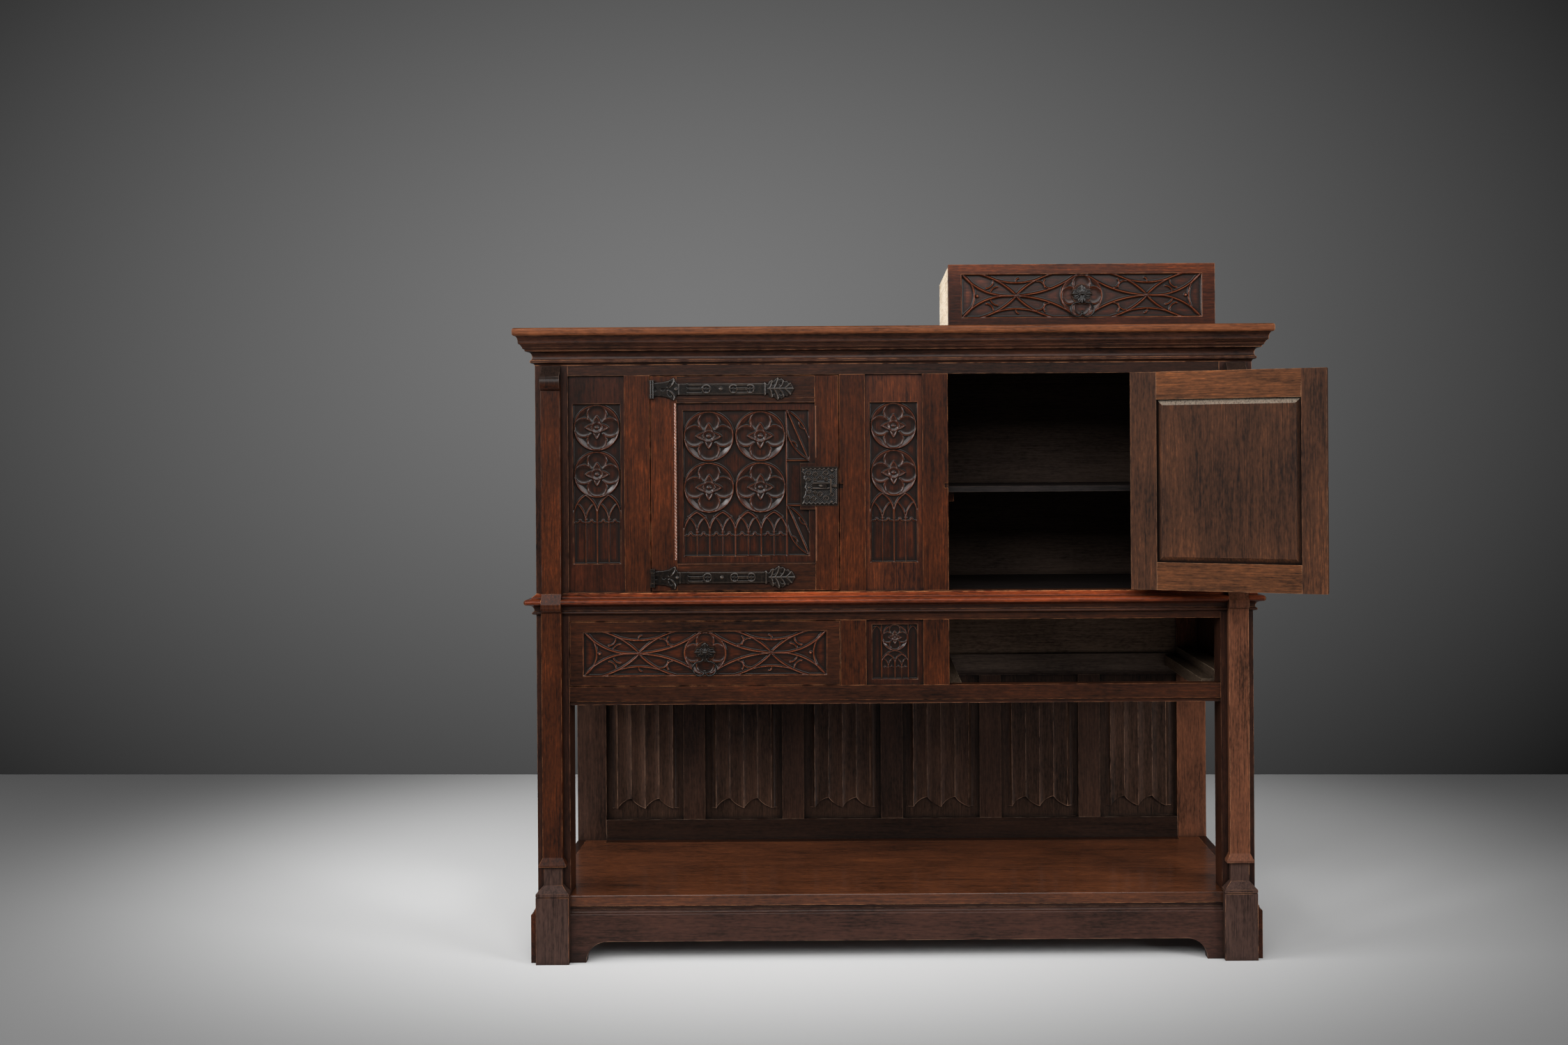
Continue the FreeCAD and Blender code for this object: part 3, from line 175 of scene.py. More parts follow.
# %% [markdown]
# ## Oak
# Old oak shows four things: broad figure where the growth rings run out on the face,
# fine dark pores drawn along the grain, a slow change of tone from board to board, and
# wear. Wax and hands leave the sharp edges paler, and these edges and the tops of carved
# ribs are also paler as painted highlights. Corners and crevices are painted darker, as
# painted shade. The grain is noise that is stretched along the board. Its contour lines
# look like growth rings.

# %% The oak finish
BLEND = 10 * MM
DUST = tint("8c8072")
OAK_GLOSS = 0.08
WAX_ROUGHNESS = 0.18


def oak(
    name, grain, tones, seed=0.0, turn=0.0, polish=0.34, wear_and_highlight=0.6, coat=0.1,
    shade_weight=0.9, ground=0.0, low=None, folds=None, dust=0.0,
):
    """Oak with its grain along one axis. Its tones are hollow, body, glow, and an edge tone for edges pale
    from use and from painted highlights.

    turn is how far the board is turned at rest, polish its roughness and coat its wax.
    ground is the painted shade on the cut ground of carving, low a height and the tones below it,
    folds the depths between which painted shade sets in, and dust lies on faces that look up.
    """
    hollow, body, glow, worn_and_lit = tones = shades(tones)
    finish = Finish("Oak" + name)
    coords = finish.coords()
    if low:
        level, below = low
        above = finish.part(coords, "Z").ramp(level - BLEND, level + BLEND)
        hollow, body, glow = (finish.mix(above, *pair) for pair in zip(shades(below)[:3], tones))
    place = {"Vector": coords, "Rotation": (0, 0, -turn), "Location": (seed, seed * 0.7, seed * 1.3)}
    turned = finish.node("Mapping", inputs=place)

    def along(stretch):
        scale = [1.0, 1.0, 1.0]
        scale["xyz".index(grain)] = stretch
        return finish.node("Mapping", inputs={"Vector": turned, "Scale": scale})

    fibre = finish.noise(along(0.035), 430.0, 3.0, 0.65)
    streak = finish.noise(along(0.05), 130.0, 2.0, 0.5)
    cloud = finish.noise(along(0.45), 10.0, 3.0)
    fleck = finish.noise(along(0.30), 240.0, 2.0, 0.6)
    figure = finish.noise(along(0.08), 7.0, 1.5, distortion=0.3)
    rings = (figure * 70.0).sine() * 0.5 + 0.5
    pores = finish.noise(along(0.03), 620.0, 1.0).ramp(0.55, 0.66)

    tone = fibre * 0.75 + fleck * 0.70 + streak * 0.30 + cloud * 0.80 + rings * 0.08 - 0.82
    colour = finish.mix(tone.ramp(0.10, 0.62), hollow, body)
    colour = finish.mix(tone.ramp(0.52, 0.98) * 0.75, colour, glow)
    colour = finish.mix(pores * 0.45, colour, hollow)

    # Painted shade: corners, crevices, places below their surroundings, the cut ground of carving and the
    # deep folds are darkened toward the hollow tone.
    near = finish.openness(0.008)
    wide = finish.openness(0.030)
    painted_shade = (1.0 - wide).ramp(0.10, 0.70) * 0.6 + (1.0 - near).ramp(0.10, 0.60) * 0.6
    crest = finish.mark("crest")
    painted_shade = painted_shade + (crest * -1.0).ramp(0.15, 1.1) * 0.85
    if ground:
        sunk = finish.mark("sunk")
        painted_shade = painted_shade + sunk * ground
    if folds:
        depth = finish.part(coords, "Y")
        painted_shade = painted_shade + depth.ramp(*folds) * 0.4
    colour = finish.mix(painted_shade * shade_weight, colour, hollow)
    # Wear and painted highlight: sharp open edges, here and there, and the tops of raised ribs turn paler,
    # toward the glow and edge tones.
    broken = finish.noise(turned, 38.0, 3.0).ramp(0.36, 0.62)
    rubbed_and_highlit = finish.arris(0.0020).ramp(0.01, 0.14) * near.ramp(0.64, 0.92) * broken
    colour = finish.mix(crest.ramp(0.8, 2.4) * 0.8, colour, glow)
    colour = finish.mix(rubbed_and_highlit * wear_and_highlight + crest.ramp(2.2, 3.4) * 0.3, colour, worn_and_lit)
    if dust:
        normal = finish.node("TexCoord", output="Normal")
        upward = finish.part(normal, "Z")
        colour = finish.mix(upward.ramp(0.2, 0.5) * fibre.ramp(0.2, 0.6) * dust, colour, DUST)

    rough = polish + streak * 0.10 + painted_shade * 0.16 - rubbed_and_highlit * 0.08
    relief = streak * 0.5 + fibre * 0.35 - pores * 0.3
    settings = {"Height": relief, "Strength": 0.30, "Distance": 0.0007}
    bump = finish.node("Bump", inputs=settings)
    gloss = {"Specular_IOR_Level": OAK_GLOSS, "Coat_Weight": coat, "Coat_Roughness": WAX_ROUGHNESS}
    return finish.shade(Base_Color=colour, Roughness=rough, Normal=bump, **gloss)


# %% [markdown]
# The cupboard is old, so no two of its boards have the same tone. Posts and doors are
# waxed a deep red brown, the boards that hands and brooms touch are scuffed, and what lies
# in the dark or in the open door stays bare. Some tones are painted light: a darker copy
# stands in for the shade that a board lies in, and a paler one for light that falls on it.
# Each kind gets four colours: the hollows of its grain, its body, its glow, and an edge
# colour for wear and painted highlights, in hex as in a colour picker. Where a board
# changes its tone on the way down, a pair such as FOOT gives the height and the colours
# below it.

# %% Tones that several finishes share
MOULDING = "100907 321c13 502c1b aa7452"
WAXED = "130a07 381a0c 622d14 a66c46"
FADED = "24160f 5a3625 7c4a30 be8864"
# RAIL is a darker copy of WAXED for the level boards: painted shade.
RAIL = "110906 2d170d 4c2513 a06844"
BRIGHT = "190d0a 482312 7c3a1b ac724c"
DEEP = "0f0805 2f150b 502412 9e7052"
# BARE_RAIL is a paler copy of the bare door wood for the doors' level boards: painted light from above.
BARE_RAIL = "1e130d 54321d 864e2a b08260"
FOOT = (0.205, "1a120f 3c2b25 503a31")
# Below this height the inner boards are paler, where they are seen through the drawer bay: painted light.
BAY = (0.75, "382d25 685547 7e6857")
# The rear frame rails keep dark tones below this height; above it they are paler grey, painted light where
# they are seen through the drawer bay.
LINEN_TOP = (0.545, "0e0907 22150f 301e15")
FIELD_TOP = (1.462, DEEP)
# Above this height the buttress caps are painted a dark grey brown: painted shade.
UNDER_CAP = (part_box("upper_buttress_left")[1].z - 38 * MM, WAXED)
# Above this height the nose of the waist moulding is painted paler and warmer: a painted highlight where
# light falls from above.
UNDER_NOSE = (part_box("waist_moulding")[1].z - 23 * MM, MOULDING)
print("the waist changes its tone at", round(UNDER_NOSE[0], 3), "m")

# %% [markdown]
# A seed moves the grain, so that no two kinds of board look alike. FOLDS and NOSING are
# the depths between which painted shade sets in: the hollows of the linenfold, and the
# rounded edge of the pot board. The grain of the open door's level boards turns with them.

# %% The oak finishes
FOLDS, NOSING = (0.2218, 0.2290), (-0.2500, -0.2545)
DOOR_TURN = math.radians(157.5)
# Carved boards are painted darker on their cut ground, as painted shade, and paler on the edges of their
# ribs, as painted highlights.
CARVING = {"wear_and_highlight": 0.3, "polish": 0.32, "coat": 0.34}
BARE_WOOD = {"polish": 0.5, "coat": 0.0}
oak_upright = oak("Upright", "z", WAXED)
oak_faded = oak("Faded", "z", FADED, seed=2.2)
# The buttress caps are painted dark: painted shade.
oak_buttress_shaded_cap = oak("Buttress", "z", "100c0a 261b16 362821 705c50", seed=2.6, low=UNDER_CAP)
# The rope bead is painted pale: a painted highlight on its round twists.
oak_bead_highlit = oak("Bead", "z", "2e1a13 7e5240 ac7c66 d2aa96", seed=2.9, coat=1.0, polish=0.28, shade_weight=0.5)
# The front's level boards take the darker rail tones: painted shade.
oak_level = oak("Level", "x", RAIL, seed=3.1)
# The rail under the cornice is painted darker: painted shade from the cornice.
oak_head_rail_shaded = oak("HeadRail", "x", "0f0906 27160f 402418 966848", seed=3.7)
oak_deep = oak("Deep", "y", WAXED, seed=5.3)
oak_post = oak("Post", "z", "100907 2f1a12 4a291a 96684c", seed=6.2)
oak_stand = oak("Stand", "z", "140d0a 34221a 4a3226 8c6c56", seed=6.9)
oak_shaft = oak("Shaft", "z", WAXED, seed=8.1, low=FOOT)
oak_shaft_faded = oak("ShaftFaded", "z", FADED, seed=8.6, low=FOOT)
# The mouldings' edges are painted paler than most, as painted highlights along their steps.
oak_moulding = oak("Moulding", "x", MOULDING, seed=22.4, wear_and_highlight=0.8)
# Painted highlight on the nose of the waist moulding.
oak_waist_lit_nose = oak("Waist", "x", "1e0f09 662d17 9c4420 c47e50", seed=22.9, wear_and_highlight=0.8, low=UNDER_NOSE)
oak_return = oak("Return", "y", MOULDING, seed=23.8, wear_and_highlight=0.8)
# The top board is painted paler than the front: painted light from above.
oak_top = oak("Top", "x", "24140d 613720 804c2e c49068", seed=7.7)
# The pot board's rounded front edge is darkened: painted shade.
oak_board = oak(
    "PotBoard", "x", "24140c 562f1b 7c4626 be865c", seed=9.2, polish=0.28, coat=0.5, folds=NOSING
)
oak_panel = oak("Panel", "z", DEEP, seed=11.4, coat=0.38, polish=0.3, wear_and_highlight=0.3, ground=0.75)
oak_panel_warm = oak("PanelWarm", "z", BRIGHT, seed=11.9, **CARVING)
oak_carved_level = oak(
    "DrawerCarving", "x", "0f0805 3c1b0e 622e18 a67656", seed=12.9, ground=0.6, **CARVING
)
# The linenfold's fold edges are painted paler, as painted highlights, and its deep hollows darker, as
# painted shade.
oak_linen = oak("Linenfold", "z", "110b08 3c291f 5a3e2f aa846c", seed=13.0, wear_and_highlight=0.9, folds=FOLDS)
oak_muntin = oak("Muntin", "z", "140d0a 322119 483024 826450", seed=13.6)
oak_level_bright = oak("LevelBright", "x", BRIGHT, seed=4.4, low=FIELD_TOP)
# The rear frame rails are painted paler above, where light comes in through the drawer bay: painted light.
oak_linen_rail = oak("LinenfoldRail", "x", "221b17 50433a 68584c 78685a", seed=14.2, low=LINEN_TOP)
# The inside is painted paler low down, in the drawer bay: painted light.
oak_inside = oak("Inside", "x", "261e1a 463931 56463b 826c5a", seed=15.5, polish=0.6, coat=0.0, low=BAY)
oak_runner = oak("Runner", "y", "261d17 4c3e32 746352 b4a086", seed=15.7, **BARE_WOOD)
# The shelves and the cupboard floor are painted near black: painted shade inside the cupboard.
oak_shelf_shaded = oak("Shelf", "x", "0e0c0b 1c1716 261f1c 463a32", seed=15.9, **BARE_WOOD)
oak_plinth = oak("Plinth", "x", "18100d 38231c 4a2e23 aa8268", seed=16.1, polish=0.46)
oak_pale = oak("DrawerSide", "y", "b8a080 eee0ca f6ecda faf4e6", seed=17.1, polish=0.62, coat=0.0, shade_weight=0.3)
oak_bare = oak("OpenDoor", "z", "140e0c 3e2619 6c4027 966e52", seed=19.3, dust=0.6, **BARE_WOOD)
# The doors' bare level boards are painted paler than their stiles: painted light from above.
oak_bare_rail = oak("OpenDoorRail", "x", BARE_RAIL, seed=21.3, turn=DOOR_TURN, **BARE_WOOD)
oak_bare_level = oak("ClosedDoorRail", "x", BARE_RAIL, seed=20.2, **BARE_WOOD)
oak_turned_level = oak("OpenDoorFront", "x", RAIL, seed=3.9, turn=DOOR_TURN)
print("oak finishes:", sum(m.name.startswith("Oak") for m in bpy.data.materials))

# %% [markdown]
# ## Wrought iron
# The hinge straps, lock plates and pulls are black iron. It was hammered, so its face is
# uneven, and it was blacked with oil, so it shines in spots. A dark surface with two
# sizes of bumps and a sharp gloss gives that. Raised parts and edges are painted a grey
# brown, for wear and as painted highlights, and recesses near black, as painted shade.

# %% The iron finish
IRON_GLOSS = 0.26


def wrought_iron():
    finish = Finish("WroughtIron")
    coords = finish.coords()
    dents = finish.noise(coords, 170.0, 2.0)
    grit = finish.noise(coords, 900.0, 2.0)
    colour = finish.mix(dents.ramp(0.38, 0.68), tint("0b0806"), tint("17110d"))
    # Wear and painted highlight: raised parts and sharp edges turn grey brown.
    crest = finish.mark("crest")
    near = finish.openness(0.004)
    rubbed_and_highlit = crest.ramp(0.25, 1.3) * 0.5 + finish.arris(0.0011).ramp(0.02, 0.2) * near.ramp(0.6, 0.9)
    colour = finish.mix(rubbed_and_highlit * 0.6, colour, tint("625246"))
    # Painted shade: corners and places below their surroundings turn near black.
    sunk = (1.0 - near).ramp(0.2, 0.9) * 0.8 + (crest * -1.0).ramp(0.1, 0.9) * 0.9
    colour = finish.mix(sunk, colour, tint("070605"))
    relief = dents + grit * 0.10
    bump = finish.node("Bump", inputs={"Height": relief, "Strength": 0.14, "Distance": 0.0005})
    rough = 0.19 + grit * 0.1
    return finish.shade(Base_Color=colour, Roughness=rough, Normal=bump, Specular_IOR_Level=IRON_GLOSS)


iron = wrought_iron()
print("iron finish:", iron.name, "with", len(iron.node_tree.nodes), "nodes")

# %% [markdown]
# ## Giving the frame its finishes
# Every board keeps its grain along its length, as a joiner would cut it: upright in
# posts, stiles and panels, level in rails. Where one node holds boards that run both
# ways, its faces are sorted by the board that they belong to.

# %% Dress the frame
IRON_PARTS = ("door_straps", "lock_plate", "lock_bolt", "pull_plate", "pull_bail")
DRESSING = (
    (oak_upright, "upper_stiles", "lower_stiles"),
    (oak_level, "waist_rail_front", "lower_rail_front", "left_drawer_front", "base_rails"),
    (oak_level_bright, "right_drawer_front"),
    (oak_top, "top_board"),
    (oak_head_rail_shaded, "top_rail_front"),
    (oak_post, "front_post_left", "front_post_right"),
    (oak_stand, "rear_post_left"),
    (oak_faded, "rear_post_right"),
    (oak_buttress_shaded_cap, "upper_buttress_left", "upper_buttress_right"),
    (oak_shaft, "lower_buttress_left"),
    (oak_shaft_faded, "lower_buttress_right"),
    (oak_board, "pot_board"),
    (oak_linen, "linenfold_panels"),
    (oak_muntin, "rear_frame_muntins"),
    (oak_linen_rail, "rear_frame_rails"),
    (oak_panel, "side_panels", "narrow_panel_left", "narrow_panel_right", "drawer_row_panel"),
    (oak_panel_warm, "narrow_panel_centre"),
    (oak_deep, "side_rails", "plinth_sides", "shelf_cleats"),
    (oak_inside, "back_rails", "back_panels", "partitions"),
    (oak_shelf_shaded, "cupboard_floor", "shelf_left", "shelf_right"),
    (oak_runner, "drawer_runners"),
    (oak_plinth, "plinth_front"),
    (oak_pale, *[f"{side}_drawer_{part}" for side in SIDES for part in ("sides", "bottom")]),
    (iron, "hinge_pintles", *[f"{side}_{part}" for side in SIDES for part in IRON_PARTS]),
)
dressed = set()


def dress(name, *materials):
    """Give a node of the frame its finishes, one slot each, and return its mesh."""
    mesh = nodes[name].data
    mesh.materials.clear()
    for material in materials:
        mesh.materials.append(material)
    dressed.add(name)
    return mesh


for material, *names in DRESSING:
    for name in names:
        dress(name, material)
print("nodes with one finish:", len(dressed))

# %% [markdown]
# A door hangs open, so both of its sides show. Its face was waxed with the rest of the
# front, and its inside and edges were left bare. The direction of each face tells which.
# The mouldings run round the case, and their grain turns with them at the mitres.

# %% Dress the doors and mouldings
HALF_CASE = 0.7625
FRONT = Vector((0, -1, 0))
FACES_OUT = 0.3


def dress_door(side, outward, rail, bare_rail):
    """The face of a door is waxed, and its inside and edges are bare."""
    pairs = {"stiles": (oak_bare, oak_upright), "rails": (bare_rail, rail), "panel": (oak_bare, oak_panel)}
    for part, pair in pairs.items():
        for face in dress(f"{side}_door_{part}", *pair).polygons:
            face.material_index = 1 if face.normal.dot(outward) > FACES_OUT else 0


dress_door("left", FRONT, oak_level, oak_bare_level)
dress_door("right", Matrix.Rotation(DOOR_TURN, 3, "Z") @ FRONT, oak_turned_level, oak_bare_rail)


def dress_moulding(name, level):
    """The front length of a moulding runs level and the side lengths run deep."""
    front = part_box("top_rail_front")[0].y
    for face in dress(name, level, oak_return).polygons:
        beside = abs(face.center.x) - HALF_CASE
        ahead = front - face.center.y
        face.material_index = 1 if beside > ahead and beside > -MM else 0


dress_moulding("cornice_moulding", oak_moulding)
dress_moulding("waist_moulding", oak_waist_lit_nose)
print("nodes without a finish:", sorted(set(nodes) - dressed))

# %% [markdown]
# ## Carving as a depth map
# A carver draws the tracery on the wood and then cuts the ground away, so that only the
# ribs are left. The same can be done with numbers: for each point of the panel, work out
# how far it is from the nearest rib, and let the height fall away with that distance.
# These helpers take and give millimetres, with u across the field and v up it.


# %% Distances and ribs
def line(u, v, start, end):
    """Distance to a straight line between two points."""
    du, dv = end[0] - start[0], end[1] - start[1]
    share = np.clip(((u - start[0]) * du + (v - start[1]) * dv) / (du * du + dv * dv), 0, 1)
    return np.hypot(u - start[0] - share * du, v - start[1] - share * dv)


def arc(u, v, start, middle, end):
    """Distance to the arc that passes through three points."""
    (ax, ay), (bx, by), (cx, cy) = start, middle, end
    d = 2 * (ax * (by - cy) + bx * (cy - ay) + cx * (ay - by))
    a2, b2, c2 = ax * ax + ay * ay, bx * bx + by * by, cx * cx + cy * cy
    cu = (a2 * (by - cy) + b2 * (cy - ay) + c2 * (ay - by)) / d
    cv = (a2 * (cx - bx) + b2 * (ax - cx) + c2 * (bx - ax)) / d
    radius = math.hypot(ax - cu, ay - cv)
    first = math.atan2(ay - cv, ax - cu)
    sweep = (math.atan2(cy - cv, cx - cu) - first) % math.tau
    if (math.atan2(by - cv, bx - cu) - first) % math.tau > sweep:
        first, sweep = math.atan2(cy - cv, cx - cu), math.tau - sweep
    angle = (np.arctan2(v - cv, u - cu) - first) % math.tau
    ends = np.minimum(np.hypot(u - ax, v - ay), np.hypot(u - cx, v - cy))
    return np.where(angle <= sweep, np.abs(np.hypot(u - cu, v - cv) - radius), ends)


def nearest(*distances):
    return np.minimum.reduce(distances)


def arcs(u, v, *curves):
    """Distance to the nearest of some arcs, each with three points."""
    return nearest(*[arc(u, v, *curve) for curve in curves])


def highest(*heights):
    return np.maximum.reduce(heights)


def rib(distance, height, foot, crest=0.35, hollow=1.35):
    """A rib with a narrow crest and hollow sides, from the distance to its middle line."""
    share = np.clip((distance - crest) / (foot - crest), 0, 1)
    return height * (1 - share) ** hollow


def dome(u, v, cu, cv, radius, height):
    """A round stud."""
    reach = np.hypot(u - cu, v - cv) / radius
    return height * np.sqrt(np.clip(1 - reach**2, 0, 1))


def flower(reach, angle, radius, height):
    """Four pointed petals with raised edges around a cup with a bead in it."""
    rim = 0.25 + 0.24 * (1 - np.abs(np.sin(2 * angle)))
    outside = rib(np.clip(reach - rim, 0, None) * radius, height, 0.07 * radius, 0.2)
    petals = np.where(reach < rim, height * (1 - 0.45 * np.clip((rim - reach) / 0.07, 0, 1)), outside)
    cup = height * (0.35 + 0.75 * np.clip(reach / 0.24, 0, 1) ** 2)
    bead = height * (0.35 + 0.7 * np.sqrt(np.clip(1 - (reach / 0.10) ** 2, 0, 1)))
    return np.where(reach < 0.24, highest(cup, bead), petals)


def quatrefoil(u, v, cu, cv, radius, height, petals=True):
    """Four dished foils in a ring, with bevelled corners between them and a flower on top."""
    du, dv = (u - cu) / radius, (v - cv) / radius
    reach, angle = np.hypot(du, dv), np.arctan2(dv, du)
    foils = reach - 0.36
    for along, up in ((0.575, 0), (0, 0.575), (-0.575, 0), (0, -0.575)):
        foils = nearest(foils, np.hypot(du - along, dv - up) - 0.395)
    ring = rib(np.abs(reach - 0.98) * radius, height, 0.035 * radius + 1.0, 0.5, 1.2)
    edges = rib(np.abs(foils - 0.02) * radius, height * 0.85, 0.03 * radius + 1.0, 0.4, 1.2)
    bevel = height * np.clip(0.15 + 0.7 * (reach - 0.80) / 0.18, 0.15, 1) * (foils > 0.02)
    dish = height * (0.15 + 0.25 * np.clip(1 + foils / 0.16, 0, 1) ** 2) * (foils < 0.02)
    whole = highest(ring, np.where(reach < 0.98, highest(edges, bevel, dish), 0))
    if petals:
        whole = highest(whole, np.where(reach < 0.62, flower(reach, angle, radius, height), 0))
    return whole


def head_points(start, direction, level, rise, radius):
    """Three points of the arc that springs from start and climbs by rise."""
    across = radius - math.sqrt(max(radius * radius - rise * rise, 0))
    half = radius - math.sqrt(max(radius * radius - rise * rise / 4, 0))
    middle, end = start + direction * half, start + direction * across
    return (start, level), (middle, level + rise / 2), (end, level + rise)


def lancet(u, v, left, right, base, spring, apex, fork, height):
    """A pointed light with a mullion in it that forks into two cusped heads."""
    width, rise = right - left, apex - spring
    radius = (width * width / 4 + rise * rise) / width
    middle = (left + right) / 2
    main = nearest(
        line(u, v, (left, base), (left, spring)),
        line(u, v, (right, base), (right, spring)),
        arc(u, v, *head_points(left, 1, spring, rise, radius)),
        arc(u, v, *head_points(right, -1, spring, rise, radius)),
    )
    heads = [arc(u, v, *head_points(middle, way, fork, rise * 0.86, radius)) for way in (1, -1)]
    fine = nearest(line(u, v, (middle, base), (middle, fork)), *heads)
    hooks = np.full_like(u, 1e3)
    size = width * 0.115
    for start, way in ((left, 1), (middle, -1), (middle, 1), (right, -1)):
        hook = (
            (start + way * 0.5, fork + size * 1.5),
            (start + way * size * 1.1, fork - size * 0.35),
            (start + way * size * 2.0, fork + size * 0.6),
        )
        hooks = nearest(hooks, arc(u, v, *hook))
    across = np.abs(np.abs(u - middle) - width / 4) / (width / 4)
    below = np.clip((fork - size * (0.1 + 0.7 * across**2) - v) / 1.2, 0, 1) * (across < 1) * (v > base)
    return highest(
        rib(main, height, width * 0.072, 0.4),
        rib(fine, height * 0.78, width * 0.052, 0.3),
        rib(hooks, height * 0.75, width * 0.045, 0.3),
        below * 0.7,
    )


print("height of a rib at 0, 1, 2 and 3 mm from its middle:", rib(np.arange(4.0), 4.4, 3.0).round(1))

# %% [markdown]
# ## From depth map to panel
# A flat grid of small squares is raised by the depth map. Its rim is folded down and
# closed behind, so that the carving is one solid slab that sits in the sunk field. A
# plate with an outline of its own starts the same way: the squares outside the outline
# are taken away, and the rest of the rim is moved onto the outline.


# %% Make a carved slab
GROUND = 0.25
CREST_REACH, SUNK_REACH = 4.5, 10.0
SUNK_FROM, SUNK_RANGE = 0.15, 0.5
SHARP = math.radians(60)


def add_object(name, data):
    """Put a new object with this data into the scene."""
    new = bpy.data.objects.new(name, data)
    bpy.context.scene.collection.objects.link(new)
    return new


def finish_object(name, mesh, material, body):
    """Give a finished mesh its finish and let it ride on its body."""
    piece = add_object(name, mesh)
    mesh.materials.append(material)
    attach(piece, body)
    return piece


def flat_grid(low, high, step):
    """A flat grid of squares between two corners."""
    bm = bmesh.new()
    width, height = high[0] - low[0], high[1] - low[1]
    bmesh.ops.create_grid(bm, x_segments=round(width / step), y_segments=round(height / step), size=0.5)
    bmesh.ops.scale(bm, vec=(width, height, 1), verts=bm.verts)
    bmesh.ops.translate(bm, vec=((low[0] + high[0]) / 2, (low[1] + high[1]) / 2, 0), verts=bm.verts)
    return bm


def trim_grid(bm, outline, step):
    """Keep the squares inside an outline, given as a distance below 0 inside it."""
    places = np.array([v.co.xy for v in bm.verts])
    distance = outline(places[:, 0], places[:, 1])
    bm.verts.index_update()
    outside = [f for f in bm.faces if sum(distance[v.index] for v in f.verts) > 0]
    bmesh.ops.delete(bm, geom=outside, context="FACES")
    rim = [v for v in bm.verts if v.is_boundary]
    places = np.array([v.co.xy for v in rim])
    u, v, small = places[:, 0], places[:, 1], 0.05
    distance = outline(u, v)
    slope_u = (outline(u + small, v) - outline(u - small, v)) / (2 * small)
    slope_v = (outline(u, v + small) - outline(u, v - small)) / (2 * small)
    steep = np.maximum(slope_u**2 + slope_v**2, 0.2)
    reach = np.clip(distance / steep, -step * 0.7, step * 0.7)
    for vert, du, dv in zip(rim, reach * slope_u, reach * slope_v):
        vert.co.x -= du
        vert.co.y -= dv


def close_behind(bm, sink):
    """Fold the rim down by sink and close the back."""
    rim = [e for e in bm.edges if e.is_boundary]
    folded = bmesh.ops.extrude_edge_only(bm, edges=rim)["geom"]
    back = [v for v in folded if isinstance(v, bmesh.types.BMVert)]
    bmesh.ops.translate(bm, vec=(0, 0, -sink), verts=back)
    lower = [e for e in bm.edges if e.is_boundary]
    bmesh.ops.triangle_fill(bm, use_beauty=False, use_dissolve=False, edges=lower)
    bmesh.ops.recalc_face_normals(bm, faces=bm.faces)


def crest_of(places, heights, step, reach):
    """How far each point of a grid stands above the mean height around it."""
    spots = np.round((places - places.min(axis=0)) / step).astype(int)
    sheet = np.zeros(spots.max(axis=0) + 1)
    sheet[spots[:, 0], spots[:, 1]] = heights
    half = round(reach / step)
    total = np.pad(sheet, half + 1, "edge").cumsum(axis=0).cumsum(axis=1)
    wide = 2 * half + 1
    total = total[wide:, wide:] - total[:-wide, wide:] - total[wide:, :-wide] + total[:-wide, :-wide]
    mean = total[: sheet.shape[0], : sheet.shape[1]] / wide**2
    return heights - mean[spots[:, 0], spots[:, 1]]


def carved_slab(name, low, high, step, carve, matrix, body, material, slot, sink=0.8, outline=None):
    """Raise a grid in millimetres by the depth map carve(u, v) and put it in its place.

    Each height is the mean of four samples, which keeps thin ribs smooth. Two attributes
    tell the finishes how far a point stands out, and whether it lies on the ground.
    """
    bm = flat_grid(low, high, step)
    if outline:
        trim_grid(bm, outline, step)
    close_behind(bm, sink)
    mesh = bpy.data.meshes.new(name)
    bm.to_mesh(mesh)
    bm.free()
    places = np.empty(len(mesh.vertices) * 3)
    mesh.vertices.foreach_get("co", places)
    places = places.reshape(-1, 3)
    front = places[:, 2] > -sink / 2
    u, v = places[front, 0], places[front, 1]
    corners = ((-0.3, -0.3), (0.3, -0.3), (-0.3, 0.3), (0.3, 0.3))
    heights = sum(carve(u + across * step, v + up * step) for across, up in corners) / len(corners)
    places[front, 2] = heights + GROUND
    # These marks let the finishes paint raised ribs paler, as painted highlights, and the ground beside
    # ribs darker, as painted shade.
    crest = np.zeros(len(places))
    crest[front] = crest_of(places[front, :2], heights, step, CREST_REACH)
    sunk = np.zeros(len(places))
    around = -crest_of(places[front, :2], heights, step, SUNK_REACH)
    sunk[front] = np.clip((around - SUNK_FROM) / SUNK_RANGE, 0, 1)
    for label, values in (("crest", crest), ("sunk", sunk)):
        mesh.attributes.new(label, "FLOAT", "POINT").data.foreach_set("value", values)
    mesh.vertices.foreach_set("co", (places * MM).ravel())
    mesh.shade_smooth()
    mesh.set_sharp_from_angle(angle=SHARP)
    mesh.transform(matrix)
    if matrix.determinant() < 0:  # a mirrored place turns the faces inwards
        mesh.flip_normals()
    return finish_object(name, mesh, material, body)


def facing(x, y, z):
    """A place whose u runs along +X, whose v runs up and whose depth comes forward."""
    turn = Matrix(((1, 0, 0), (0, 0, -1), (0, 1, 0))).to_4x4()
    return Matrix.Translation((x, y, z)) @ turn


# %% [markdown]
# ## The carved fields
# Three narrow panels share one drawing: two ringed quatrefoils over two lancets. The
# small panel between the drawers has one ring over one arch. A carver lays such tracery
# out with a compass and a rule, and these drawings do the same with arcs and lines.

# %% Drawings of the narrow panels
RELIEF = 4.4
MARGIN = 2.0
NARROW = (103.0, 342.0)
NARROW_RING = 48.8
SMALL = (98.0, 118.0)


